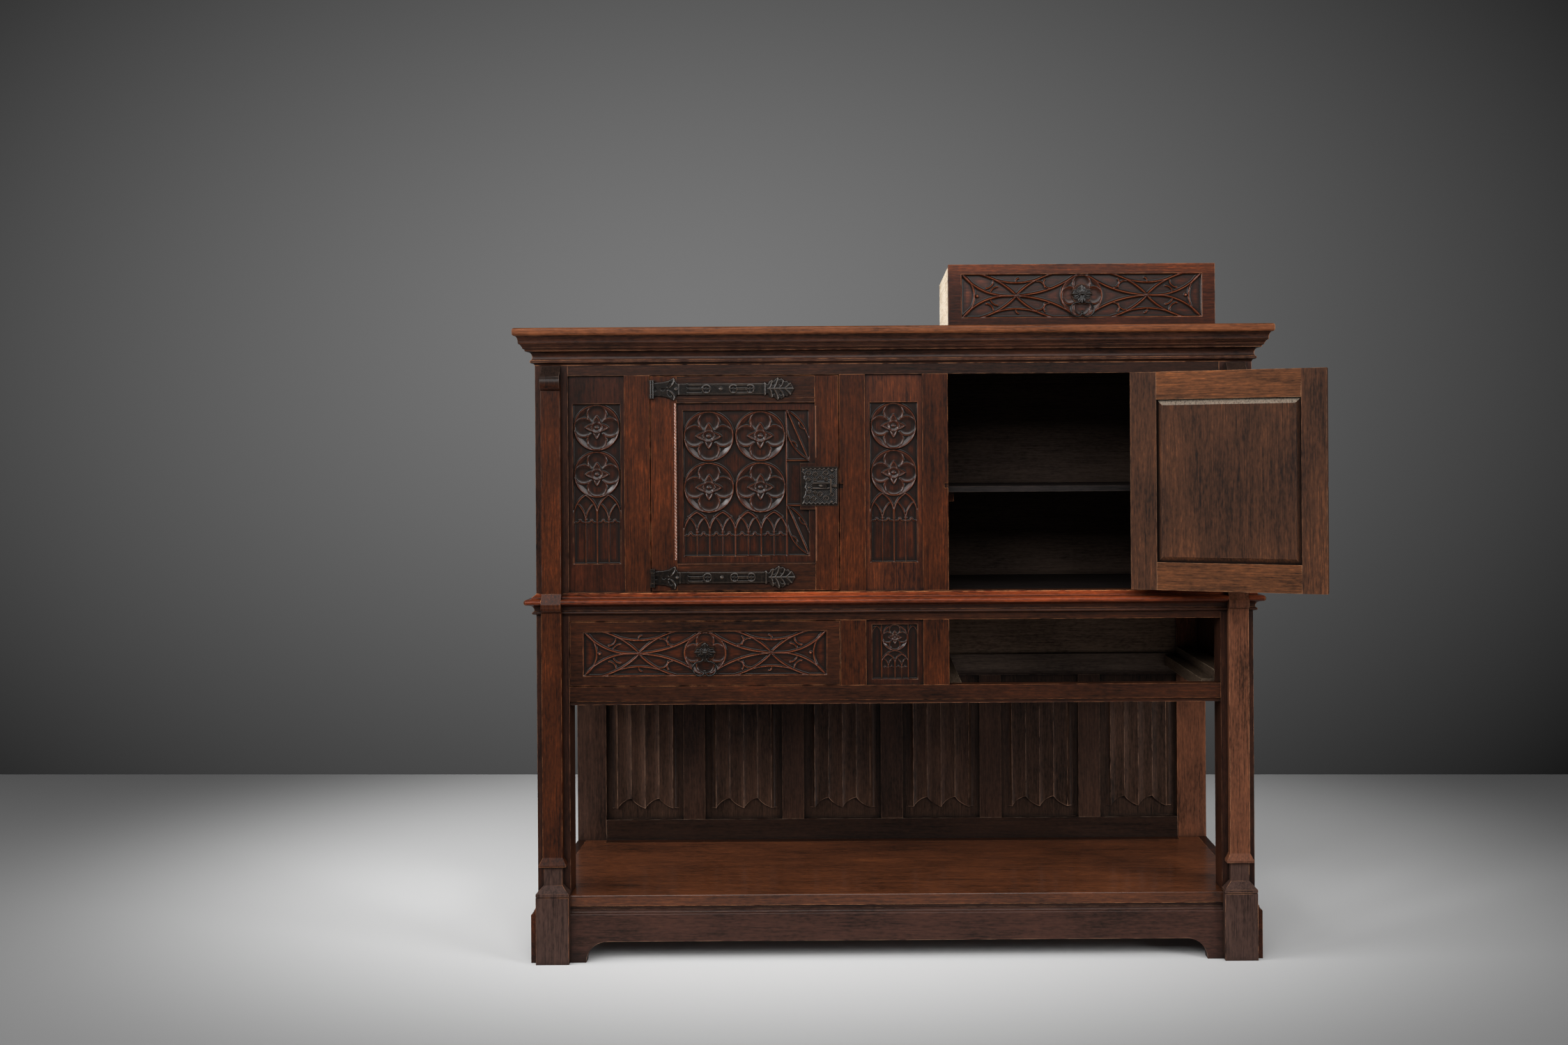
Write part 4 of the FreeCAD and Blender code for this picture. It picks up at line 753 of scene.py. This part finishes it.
def border(u, v, width, height, rise=RELIEF, foot=2.2):
    """The thin raised line along the edge of a field."""
    near = nearest(u, width - u, v, height - v)
    return rib(np.clip(near, 0, None), rise, foot, 0.8)


def narrow_drawing(u, v):
    width, height = NARROW
    lights = np.zeros_like(u)
    for left, right in ((MARGIN, width / 2), (width / 2, width - MARGIN)):
        lights = highest(lights, lancet(u, v, left, right, MARGIN, 104.0, 147.0, 90.0, RELIEF))
    lights[np.hypot(u - width / 2, v - 191.5) < NARROW_RING - 0.2] = 0
    rings = [quatrefoil(u, v, width / 2, level, NARROW_RING, RELIEF) for level in (291.0, 191.0)]
    return highest(border(u, v, width, height), lights, *rings)


def small_drawing(u, v):
    width, height = SMALL
    middle, side = width / 2, 20.5
    posts = nearest(*[line(u, v, (at, 0), (at, height)) for at in (side, width - side)])
    lights = [
        lancet(u, v, left, right, 1.0, 33.0, 53.0, 26.0, RELIEF * 0.85)
        for left, right in ((side, middle), (middle, width - side))
    ]
    across = np.abs(u - middle)
    over = arc(across, v, (middle - side, 38), (17.0, 54.0), (0, 61.0))
    heads = nearest(
        arc(across, v, (47.5, 98), (45.4, 107), (38.5, 114)),
        arc(across, v, (29.5, 98), (31.6, 107), (38.5, 114)),
    )
    return highest(
        border(u, v, width, height),
        rib(posts, RELIEF * 0.85, 2.4),
        rib(over, RELIEF * 0.8, 2.2),
        rib(heads, RELIEF * 0.75, 2.0),
        quatrefoil(u, v, middle, 89.0, 27.4, RELIEF * 0.9),
        *lights,
    )


print("narrow fields:", NARROW, "and", SMALL, "mm, carved", RELIEF, "mm high")

# %% [markdown]
# The doors have four rings over four lancets. Beside the lock, where a whole ring finds
# no room, a strip is filled with leaf shapes.

# %% Drawing of the doors
DOOR = (270.0, 312.0)
DOOR_BAR = 221.0
DOOR_RING = 53.0
LEAF_HOOK = ((3, 26), (7, 16), (15, 13))


def leaf_compartment(u, v, left, right, low, high, height):
    """A slanting pair of leaf shapes between two corners, as beside the lock."""
    slant = line(u, v, (left, high), (right, low))
    middle_u, middle_v = (left + right) / 2, (low + high) / 2
    reach = (right - left) * 0.34
    bows, hooks = [], []
    for way in (1, -1):
        bulge = (middle_u + way * reach, middle_v + way * reach * 0.9)
        bows.append([(left, high), bulge, (right, low)])
        hooks.append([(middle_u + way * du, middle_v + way * dv) for du, dv in LEAF_HOOK])
    ribs = highest(
        rib(slant, height, 3.0),
        rib(arcs(u, v, *bows), height * 0.85, 2.6),
        rib(arcs(u, v, *hooks), height * 0.8, 2.0),
    )
    return np.where((u > left - 2) & (v > low - 2) & (v < high + 2), ribs, 0)


def door_drawing(u, v):
    width, height = DOOR
    centres = [(across, level) for across in (55.6, 165.6) for level in (256.0, 146.5)]
    light_width = (DOOR_BAR - MARGIN) / 4
    lights = np.zeros_like(u)
    for number in range(4):
        left = MARGIN + light_width * number
        lights = highest(lights, lancet(u, v, left, left + light_width, MARGIN, 50.0, 94.0, 46.0, RELIEF))
    for across, level in centres:
        lights[np.hypot(u - across, v - level) < DOOR_RING] = 0
    rails = nearest(*[line(u, v, (DOOR_BAR, level), (width, level)) for level in (107.5, 203.5)])
    return highest(
        border(u, v, width, height),
        lights,
        rib(line(u, v, (DOOR_BAR, 0), (DOOR_BAR, height)), RELIEF, 3.0),
        rib(rails, RELIEF, 3.0),
        leaf_compartment(u, v, DOOR_BAR + MARGIN, width - MARGIN, MARGIN, 106.0, RELIEF),
        leaf_compartment(u, v, DOOR_BAR + MARGIN, width - MARGIN, 205.0, height - MARGIN, RELIEF),
        *[quatrefoil(u, v, across, level, DOOR_RING, RELIEF + 0.4) for across, level in centres],
    )


print("door fields:", DOOR, "mm, with rings", 2 * DOOR_RING, "mm across")

# %% [markdown]
# ## The drawer fronts
# Each drawer has a ring in the middle, behind the pull, and on each side two long curved
# ribs that cross like a saltire. Small cusps fill the corners between them. The drawing
# is made for one quarter and folded over both middle lines.

# %% Drawing of the drawer fronts
DRAWER = (519.0, 94.0)
DRAWER_RING = 44.5
CROSSING = 141.0
DRAWER_RIBS = (
    ((9, 46.5), (61, 17), (CROSSING, 0.8)),
    ((CROSSING, 0.8), (196, 5.5), (257, 46)),
    ((64, 46.5), (112, 25.5), (CROSSING, 1)),
    ((CROSSING, 1), (170, 25.5), (218, 46.5)),
)
DRAWER_SPANS = (
    ((70, 47), (CROSSING, 28), (212, 47)),
    ((257, 46), (231, 0), (257, -46)),
)
DRAWER_HOOKS = (
    ((79, 35), (81, 25), (70, 16.5)),
    ((97, 31), (86, 29), (79, 17.5)),
    ((190, 32), (194, 22), (205, 16.5)),
    ((181, 20), (190, 17), (196, 9)),
    ((CROSSING - 5, 38), (CROSSING, 34), (CROSSING, 28)),
)


def drawer_drawing(u, v):
    width, height = DRAWER
    across = np.abs(u - width / 2)
    upward = np.abs(v - height / 2)
    knots = highest(
        dome(across, upward, 225, 0, 3.6, RELIEF),
        dome(across, upward, 70, 16.5, 2.4, RELIEF * 0.8),
        dome(across, upward, 205, 16.5, 2.4, RELIEF * 0.8),
    )
    outside = np.hypot(across, upward) > DRAWER_RING
    return highest(
        border(u, v, width, height, RELIEF, 2.8),
        np.where(outside, rib(arcs(across, upward, *DRAWER_RIBS), RELIEF, 3.5, 0.4), 0),
        rib(arcs(across, upward, *DRAWER_SPANS), RELIEF * 0.9, 2.9, 0.4),
        rib(arcs(across, upward, *DRAWER_HOOKS), RELIEF * 0.85, 2.2, 0.3),
        knots,
        quatrefoil(u, v, width / 2, height / 2, DRAWER_RING + 0.1, RELIEF, petals=False),
    )


print("drawer fields:", DRAWER, "mm")

# %% [markdown]
# Each drawing can now be cut. The fields of the frame are sunk by 5 mm, and a slab is set
# on the ground of each.

# %% Carve the fixed panels and drawers
STEP = 0.95
FIELD_DEPTH = 5.0
carvings = []


def field_place(node, size):
    """The lower left corner of a field that is sunk in the middle of a node's face."""
    low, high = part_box(node)
    x = (low.x + high.x) / 2 - size[0] * MM / 2
    z = (low.z + high.z) / 2 - size[1] * MM / 2
    return facing(x, low.y + FIELD_DEPTH * MM, z)


def carve_field(name, size, drawing, place, body, material, step=STEP):
    slab = carved_slab(name, (0, 0), size, step, drawing, place, body, material, "carved_oak")
    carvings.append(slab)


for side in ("left", "centre", "right"):
    place = field_place(f"narrow_panel_{side}", NARROW)
    carve_field(f"Tracery{side.title()}", NARROW, narrow_drawing, place, "carcass", oak_panel)
place = field_place("drawer_row_panel", SMALL)
carve_field("TracerySmall", SMALL, small_drawing, place, "carcass", oak_panel, STEP * 0.8)
for side in SIDES:
    place = field_place(f"{side}_drawer_front", DRAWER)
    name, body = f"DrawerTracery{side.title()}", f"{side}_drawer"
    carve_field(name, DRAWER, drawer_drawing, place, body, oak_carved_level)
print("fixed panels and drawers carved:", [c.name for c in carvings])

# %% [markdown]
# A door is measured from its hinge pins, so that its carving can be placed while it
# stands open. The right door mirrors the left one and is turned, and one matrix does both.

# %% Carve the doors
PIN_X, PIN_Y = 0.513, -0.253
DOOR_PLACES = {
    "left": Matrix.Translation((-PIN_X, PIN_Y, 0)),
    "right": Matrix.Translation((PIN_X, PIN_Y, 0))
    @ Matrix.Rotation(DOOR_TURN, 4, "Z")
    @ Matrix.Diagonal((-1, 1, 1, 1)),
}
DOOR_FACE = 0.0055
DOOR_FIELD = (0.06325, 0.0155, 0.8585)
for side, place in DOOR_PLACES.items():
    spot = place @ facing(*DOOR_FIELD)
    carve_field(f"DoorTracery{side.title()}", DOOR, door_drawing, spot, f"{side}_door", oak_panel)
print("carved slabs:", len(carvings), "faces:", sum(len(c.data.polygons) for c in carvings))

# %% [markdown]
# Thin beads frame the panel of each door. The one beside the hinges is cut like a rope,
# with a twist that climbs as it crosses the bead. The others are plain, and the one
# beside the lock stops where the lock block cuts across the stile.

# %% Beads around the door panels
OPENING = (51.0, 345.5, 844.0, 1185.0)
BEAD_STEP, BEAD_SINK = 0.65, 0.6


def half_round(u, v, width, rise):
    return rise * np.sqrt(np.clip(1 - (2 * u / width - 1) ** 2, 0, 1))


def rope(u, v):
    twist = 0.5 + 0.5 * np.sin(math.tau * (v + 1.4 * u) / 7.0)
    return half_round(u, v, 4.4, 1.7) * (0.45 + 0.55 * twist)


def plain_bead(u, v):
    return half_round(u, v, 3.0, 1.0)


def level_bead(u, v):
    return half_round(v, u, 2.6, 0.9)


left, right, bottom, top = OPENING
BEADS = (
    ("Rope", (left - 4.8, bottom + 8), (4.4, top - bottom - 8), rope, oak_bead_highlit),
    ("LockLow", (right + 0.3, bottom + 4), (3.0, 114.0), plain_bead, oak_faded),
    ("LockHigh", (right + 0.3, 1068.0), (3.0, 110.0), plain_bead, oak_faded),
    ("Top", (left, top + 0.4), (right - left, 2.6), level_bead, oak_level),
    ("TopUpper", (left, top + 9.0), (right - left, 2.6), level_bead, oak_level),
    ("Bottom", (left, bottom - 3.0), (right - left, 2.6), level_bead, oak_level),
)
for side, place in DOOR_PLACES.items():
    for label, (u, z), size, relief, material in BEADS:
        spot = place @ facing(u * MM, DOOR_FACE, z * MM)
        name = f"DoorBead{label}{side.title()}"
        body, slot = f"{side}_door", "carved_oak"
        carved_slab(name, (0, 0), size, BEAD_STEP, relief, spot, body, material, slot, BEAD_SINK)
print("beads:", 2 * len(BEADS))

# %% [markdown]
# ## Pierced and hammered iron
# The plain iron plates of the frame get a worked face. A strap hinge starts with a
# spurred end, runs along as a band with slots and pierced quatrefoils, and ends in a
# leaf. Its outline is a table of half heights along its length.

# %% The strap hinges
STRAP_PLATE = 1.3
STRAP_END = 303.0
STRAP_RINGS = (115.5, 173.0, 208.5)
STRAP_VEINS = (
    ((250, 0), (254, 9), (255, 18)),
    ((259, 0), (265, 11), (268, 23)),
    ((270, 0), (277, 9), (280, 17)),
    ((282, 0), (289, 6), (294, 12)),
)
STRAP_HALF = (
    (-2.0, 14.4), (8.0, 14.2), (22.0, 15.2), (34.0, 18.2), (42.0, 22.0), (46.8, 25.0), (48.0, 22.5),
    (50.5, 15.0), (53.0, 12.2), (72.0, 12.2), (74.0, 13.8), (77.0, 12.2), (237.5, 12.2), (238.5, 14.6),
    (241.5, 14.6), (243.0, 10.5), (247.0, 10.0), (249.0, 14.5), (254.0, 19.5), (259.0, 17.0), (262.0, 21.0),
    (268.0, 25.0), (270.5, 20.0), (275.0, 22.6), (280.0, 19.0), (282.5, 15.5), (287.5, 17.5), (290.5, 12.5),
    (295.0, 13.6), (298.5, 7.0), (STRAP_END, 0.0),
)


def ellipse(u, v, cu, cv, long, short, turn=0.0):
    """Roughly the distance to an ellipse, below 0 inside it."""
    c, s = math.cos(math.radians(turn)), math.sin(math.radians(turn))
    du, dv = (u - cu) * c + (v - cv) * s, (v - cv) * c - (u - cu) * s
    return (np.hypot(du / long, dv / short) - 1) * min(long, short)


def bar(u, v, low, high, level, half):
    """Distance to a level bar with round ends, below 0 inside it."""
    return line(u, v, (low, level), (high, level)) - half


def strap_outline(u, v):
    side = np.abs(v)
    knots = np.array(STRAP_HALF)
    whole = highest(side - np.interp(u, knots[:, 0], knots[:, 1]), -2.0 - u, u - STRAP_END)
    holes = [
        ellipse(u, v, 6.0, 0, 2.2, 3.0),
        ellipse(u, v, 23.0, 0, 3.6, 2.0),
        ellipse(u, side, 37.0, 9.0, 6.4, 3.0, 62),
        bar(u, side, 76.0, 104.0, 4.8, 1.3),
        bar(u, side, 181.0, 201.0, 4.8, 1.3),
        ellipse(u, side, 257.5, 9.5, 2.6, 2.0, 50),
        ellipse(u, side, 274.0, 10.5, 3.0, 2.0, 40),
    ]
    for middle in STRAP_RINGS:
        holes += [np.hypot(np.abs(u - middle) - 3.7, side - 3.7) - 1.9]
    return highest(whole, -nearest(*holes))


def strap_relief(u, v):
    side = np.abs(v)
    edge = np.clip(-strap_outline(u, v) / 1.1, 0, 1) ** 0.5
    veins = nearest(line(u, v, (247, 0), (301, 0)), arcs(u, side, *STRAP_VEINS))
    crescents = arc(u, side, (46.4, 23.5), (44.5, 11.0), (33.0, 3.5))
    frames = nearest(*[np.abs(np.hypot(u - at, side) - 8.4) for at in STRAP_RINGS])
    bars = nearest(*[line(side, u, (0, at), (12, at)) for at in (57.0, 240.0)])
    return highest(
        edge * STRAP_PLATE,
        STRAP_PLATE + rib(veins, 1.1, 1.6, 0.2),
        STRAP_PLATE + rib(crescents, 1.5, 1.8, 0.3),
        STRAP_PLATE + rib(np.where(side < 12, frames, 9), 0.8, 1.3, 0.2),
        STRAP_PLATE + rib(bars, 1.0, 1.5, 0.4),
        STRAP_PLATE + dome(u, v, 51.0, 0, 3.2, 2.4),
        STRAP_PLATE + dome(u, v, 146.2, 0, 3.6, 2.6),
        STRAP_PLATE + dome(u, v, -0.5, 0, 1.2, 0.4),
    ) * (edge > 0)


IRON_STEP = 0.8
STRAP_FACE = DOOR_FACE - 0.0025
STRAP_LEVELS = (1.215, 0.814)
STRAP_CORNERS = (-3.2, -26.0), (304.0, 26.0)
STRAP_SINK = 2.4
for side, place in DOOR_PLACES.items():
    for number, level in enumerate(STRAP_LEVELS, start=1):
        spot = place @ facing(0, STRAP_FACE, level)
        carved_slab(
            f"StrapFace{side.title()}{number}", *STRAP_CORNERS, IRON_STEP, strap_relief, spot,
            f"{side}_door", iron, "wrought_iron", STRAP_SINK, strap_outline,
        )
print("hinge straps:", len(DOOR_PLACES) * len(STRAP_LEVELS))

# %% [markdown]
# The lock plate is a shield with a ragged leaf border. A case with two bars and a
# keyhole stands in its middle, and curled leaves fill the rest.

# %% The lock plates
LOCK_LEVEL = 1.007
LOCK_LEFT = 0.3155
LOCK_EDGE = np.array(
    [(-41, 5), (-37, 1), (-31, 5), (-24, 4), (-17, 8), (-9, 9), (-3, 7),
     (2, 9), (9, 9), (16, 5), (23, 6), (31, 1), (37, 3), (41, 0)]
)
LOCK_CURLS = (
    (16, 27, 6.5), (31, 25, 6.0), (41, 17, 5.2), (53, 27, 6.5), (66, 20, 5.0),
    (16, 14, 4.5), (41, -17, 6.0), (27, -27, 6.5), (14, -25, 5.5), (54, -26, 6.5),
    (66, -18, 5.0), (17, -12, 4.5), (30, 13, 4.0), (54, 14, 4.6), (30, -13, 4.0),
)
LOCK_STUDS = ((5, 35), (66, 33), (65, -33), (17, -3))
LOCK_CORNERS = (0.0, -41.5), (78.0, 41.5)
LOCK_SINK = 1.6


def lock_outline(u, v):
    left = np.interp(v, LOCK_EDGE[:, 0], LOCK_EDGE[:, 1])
    top = 38.8 + 1.5 * np.sin(u * math.tau / 9.4)
    return highest(left - u, u - 77.0, np.abs(v) - top)


def lock_relief(u, v):
    inward = -lock_outline(u, v)
    edge = np.clip(inward / 1.2, 0, 1) ** 0.5
    curls = np.zeros_like(u)
    for cu, cv, radius in LOCK_CURLS:
        reach, angle = np.hypot(u - cu, v - cv), np.arctan2(v - cv, u - cu)
        spiral = np.abs((reach / radius * 1.6 - angle / math.tau + 0.5) % 1 - 0.5) * radius / 1.6
        curls = highest(curls, np.where(reach < radius, rib(spiral, 2.2, 1.6, 0.25), 0))
    beads = 0.7 * np.clip(np.sin(u * 1.35) * np.sin(v * 1.35), 0, 1)
    rim = rib(np.abs(inward - 2.6), 1.0, 1.5, 0.4)
    inside = highest(np.abs(u - 43.0) - 20.0, np.abs(v - 1.0) - 9.5) < 0
    bars = highest(
        rib(nearest(bar(u, v, 26, 60, 6.6, 0), bar(u, v, 26, 60, -4.6, 0)), 2.6, 2.0, 0.7),
        rib(line(u, v, (63.5, -12), (63.5, 13)), 3.0, 3.2, 1.8),
        rib(line(u, v, (66, 0.6), (77, 0.6)), 2.8, 4.4, 2.6),
        dome(u, v, 42.5, 1.0, 4.2, 4.2),
    )
    hole = ellipse(u, v, 54.0, -1.2, 1.9, 3.2)
    field = np.where(inside, 0.5, highest(curls, rim, beads))
    studs = highest(*[dome(u, v, cu, cv, 3.0, 2.8) for cu, cv in LOCK_STUDS])
    whole = highest(field, bars, studs)
    return (1.1 + np.where(hole < 0, -0.9, whole)) * edge


for side, place in DOOR_PLACES.items():
    spot = place @ facing(LOCK_LEFT, DOOR_FACE - 0.002, LOCK_LEVEL)
    carved_slab(
        f"LockFace{side.title()}", *LOCK_CORNERS, IRON_STEP * 0.8, lock_relief, spot,
        f"{side}_door", iron, "wrought_iron", LOCK_SINK, lock_outline,
    )
print("lock plates:", len(DOOR_PLACES), "with", len(LOCK_CURLS), "curls each")

# %% [markdown]
# Behind each drop handle sits a small plate of four leaves. Its outline is a circle that
# swells four times on its way round, with a finer wave on top for the leaf's teeth.

# %% The leaf plates of the pulls
PULL_CORNERS = (-23.5, -21.0), (23.5, 21.0)
PULL_SINK = 1.4


def pull_outline(u, v):
    reach, angle = np.hypot(u / 1.12, v), np.arctan2(v, u / 1.12)
    return reach - (15.5 + 4.2 * np.cos(4 * angle) + 1.3 * np.cos(16 * angle))


def pull_relief(u, v):
    edge = np.clip(-pull_outline(u, v) / 1.2, 0, 1) ** 0.5
    reach, angle = np.hypot(u, v), np.arctan2(v, u)
    veins = rib(np.abs(np.sin(2 * angle)) * reach, 1.4, 1.8, 0.2)
    fine = rib(np.abs(np.sin(8 * angle)) * reach / 4, 0.7, 1.1, 0.1)
    return (0.8 + highest(veins, fine) + rib(reach, 1.2, 9, 2)) * edge


for side in SIDES:
    low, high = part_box(f"{side}_pull_plate")
    spot = facing((low.x + high.x) / 2, high.y - 0.002, (low.z + high.z) / 2)
    carved_slab(
        f"PullFace{side.title()}", *PULL_CORNERS, IRON_STEP * 0.8, pull_relief, spot,
        f"{side}_drawer", iron, "wrought_iron", PULL_SINK, pull_outline,
    )

# %% [markdown]
# ## Floor and wall
# The cupboard stands on a pale floor before a plain grey wall, both brightest near the
# middle: a painted pool of light on the floor, and painted light on the wall. The wall
# stands a little askew. It glows by itself, so the lamps don't mark it, and it is seen
# only from the front. One formula lets both greys fall off from a centre.

# %% Floor and wall
BLACK, WHITE = (0, 0, 0, 1), (1, 1, 1, 1)


def glow(finish, centre, reach, power, height, base):
    """A grey that falls off from a centre, at its own rate along each axis: painted light."""
    coords = finish.coords()
    away = finish.node("VectorMath", {"operation": "SUBTRACT"}, {0: coords, 1: centre})
    share = finish.node("VectorMath", {"operation": "DIVIDE"}, {0: away, 1: reach})
    length = finish.node("VectorMath", {"operation": "LENGTH"}, {0: share}, "Value")
    level = math.e ** (-1.0 * length ** (2.0 * power)) * height + base
    return finish.mix(level, BLACK, WHITE)


def stage_sheet(name, corners, material):
    """A flat sheet of floor or wall that isn't part of the cupboard."""
    bm = bmesh.new()
    bm.faces.new([bm.verts.new(c) for c in corners])
    mesh = bpy.data.meshes.new(name)
    bm.to_mesh(mesh)
    bm.free()
    sheet = add_object(name, mesh)
    mesh.materials.append(material)
    return sheet


FLOOR_PAINT = 0.93
FLOOR_GLOW = (-0.125, 0.761, 0), (1.678, 1.465, 1), 1.925, 0.701 * FLOOR_PAINT, 0.132 * FLOOR_PAINT
WALL_GLOW = (-0.625, 1.55, 1.478), (3.095, 99, 1.914), 0.788, 0.2413, -0.0532
floor_finish = Finish("PaleFloor")
level = glow(floor_finish, *FLOOR_GLOW)
pale = floor_finish.shade(Base_Color=level, Roughness=0.6, Specular_IOR_Level=0.15)

wall_finish = Finish("GreyWall")
level = glow(wall_finish, *WALL_GLOW)
behind = wall_finish.node("NewGeometry", output="Backfacing")
dull = {"Base_Color": BLACK, "Roughness": 1.0, "Specular_IOR_Level": 0.0}
grey = wall_finish.shade(Emission_Color=level, Emission_Strength=1.0, Alpha=1.0 - behind, **dull)

FAR, WALL_TOP = 9, 6
WALL_LEFT, WALL_RIGHT = 1.947, 1.382
stage_sheet("Floor", [(-FAR, -FAR, 0), (FAR, -FAR, 0), (FAR, FAR, 0), (-FAR, FAR, 0)], pale)
foot, head = [[(-FAR, WALL_LEFT, z), (FAR, WALL_RIGHT, z)] for z in (0, WALL_TOP)]
wall = stage_sheet("Wall", foot + head[::-1], grey)
wall.visible_shadow = False
wall.visible_diffuse = False
print("stage: floor", 2 * FAR, "m wide, wall", WALL_TOP, "m high")

# %% [markdown]
# ## Light
# The light is soft and comes from four lamps and an even sky. A large lamp on the left
# models the mouldings, a wide one above the front fills the carving, one on the right
# lights the open door, and a small one puts glints on wax and iron.

# %% Lights
SKY = 0.12
LAMPS = (
    ("LeftLamp", (-4.0, -1.5, 2.4), (0, 0, 0.8), (2.3, 2.3), 178),
    ("FrontLamp", (-0.3, -3.6, 3.0), (0, 0, 0.4), (3.4, 2.4), 136),
    ("GlintLamp", (-2.6, -3.0, 2.5), (0, 0, 0.9), (0.7, 0.7), 34),
    ("RightLamp", (3.4, -2.6, 1.8), (0.4, 0, 0.6), (1.6, 1.6), 118),
)
world = bpy.data.worlds.new("Studio")
world.use_nodes = True
bpy.context.scene.world = world
sky = world.node_tree.nodes["Background"]
sky.inputs["Color"].default_value = WHITE
sky.inputs["Strength"].default_value = SKY


def soft_lamp(name, place, aim, size, power):
    """A rectangular lamp that points at a place."""
    lamp = bpy.data.lights.new(name, "AREA")
    lamp.shape = "RECTANGLE"
    lamp.size, lamp.size_y = size
    lamp.energy = power
    lamp_object = add_object(name, lamp)
    lamp_object.location = place
    lamp_object.rotation_euler = (Vector(aim) - Vector(place)).to_track_quat("-Z", "Y").to_euler()


for lamp in LAMPS:
    soft_lamp(*lamp)
print("lamps:", {name: power for name, *_, power in LAMPS})

# %% [markdown]
# ## Camera
# The photograph was taken from straight in front, a little over a metre up, with the
# camera level. So its uprights stay upright, and a small shift of the lens frames the
# cupboard. The whole picture is turned by a third of a degree.

# %% Camera
LENS, SHIFT = 35.6, (-0.0493, -0.0422)
SPOT, ROLL = (-0.069, -3.5475, 1.07), -0.37
camera_data = bpy.data.cameras.new("Camera")
camera = add_object("Camera", camera_data)
camera_data.sensor_width = 36
camera_data.lens = LENS
camera_data.shift_x, camera_data.shift_y = SHIFT
camera.location = SPOT
level_turn = Matrix.Rotation(math.radians(90), 3, "X")
roll = Matrix.Rotation(math.radians(ROLL), 3, "Z")
camera.rotation_euler = (level_turn @ roll).to_euler()
bpy.context.scene.camera = camera
bpy.context.scene.view_settings.view_transform = "Standard"
print("camera:", SPOT, "lens", LENS, "mm")
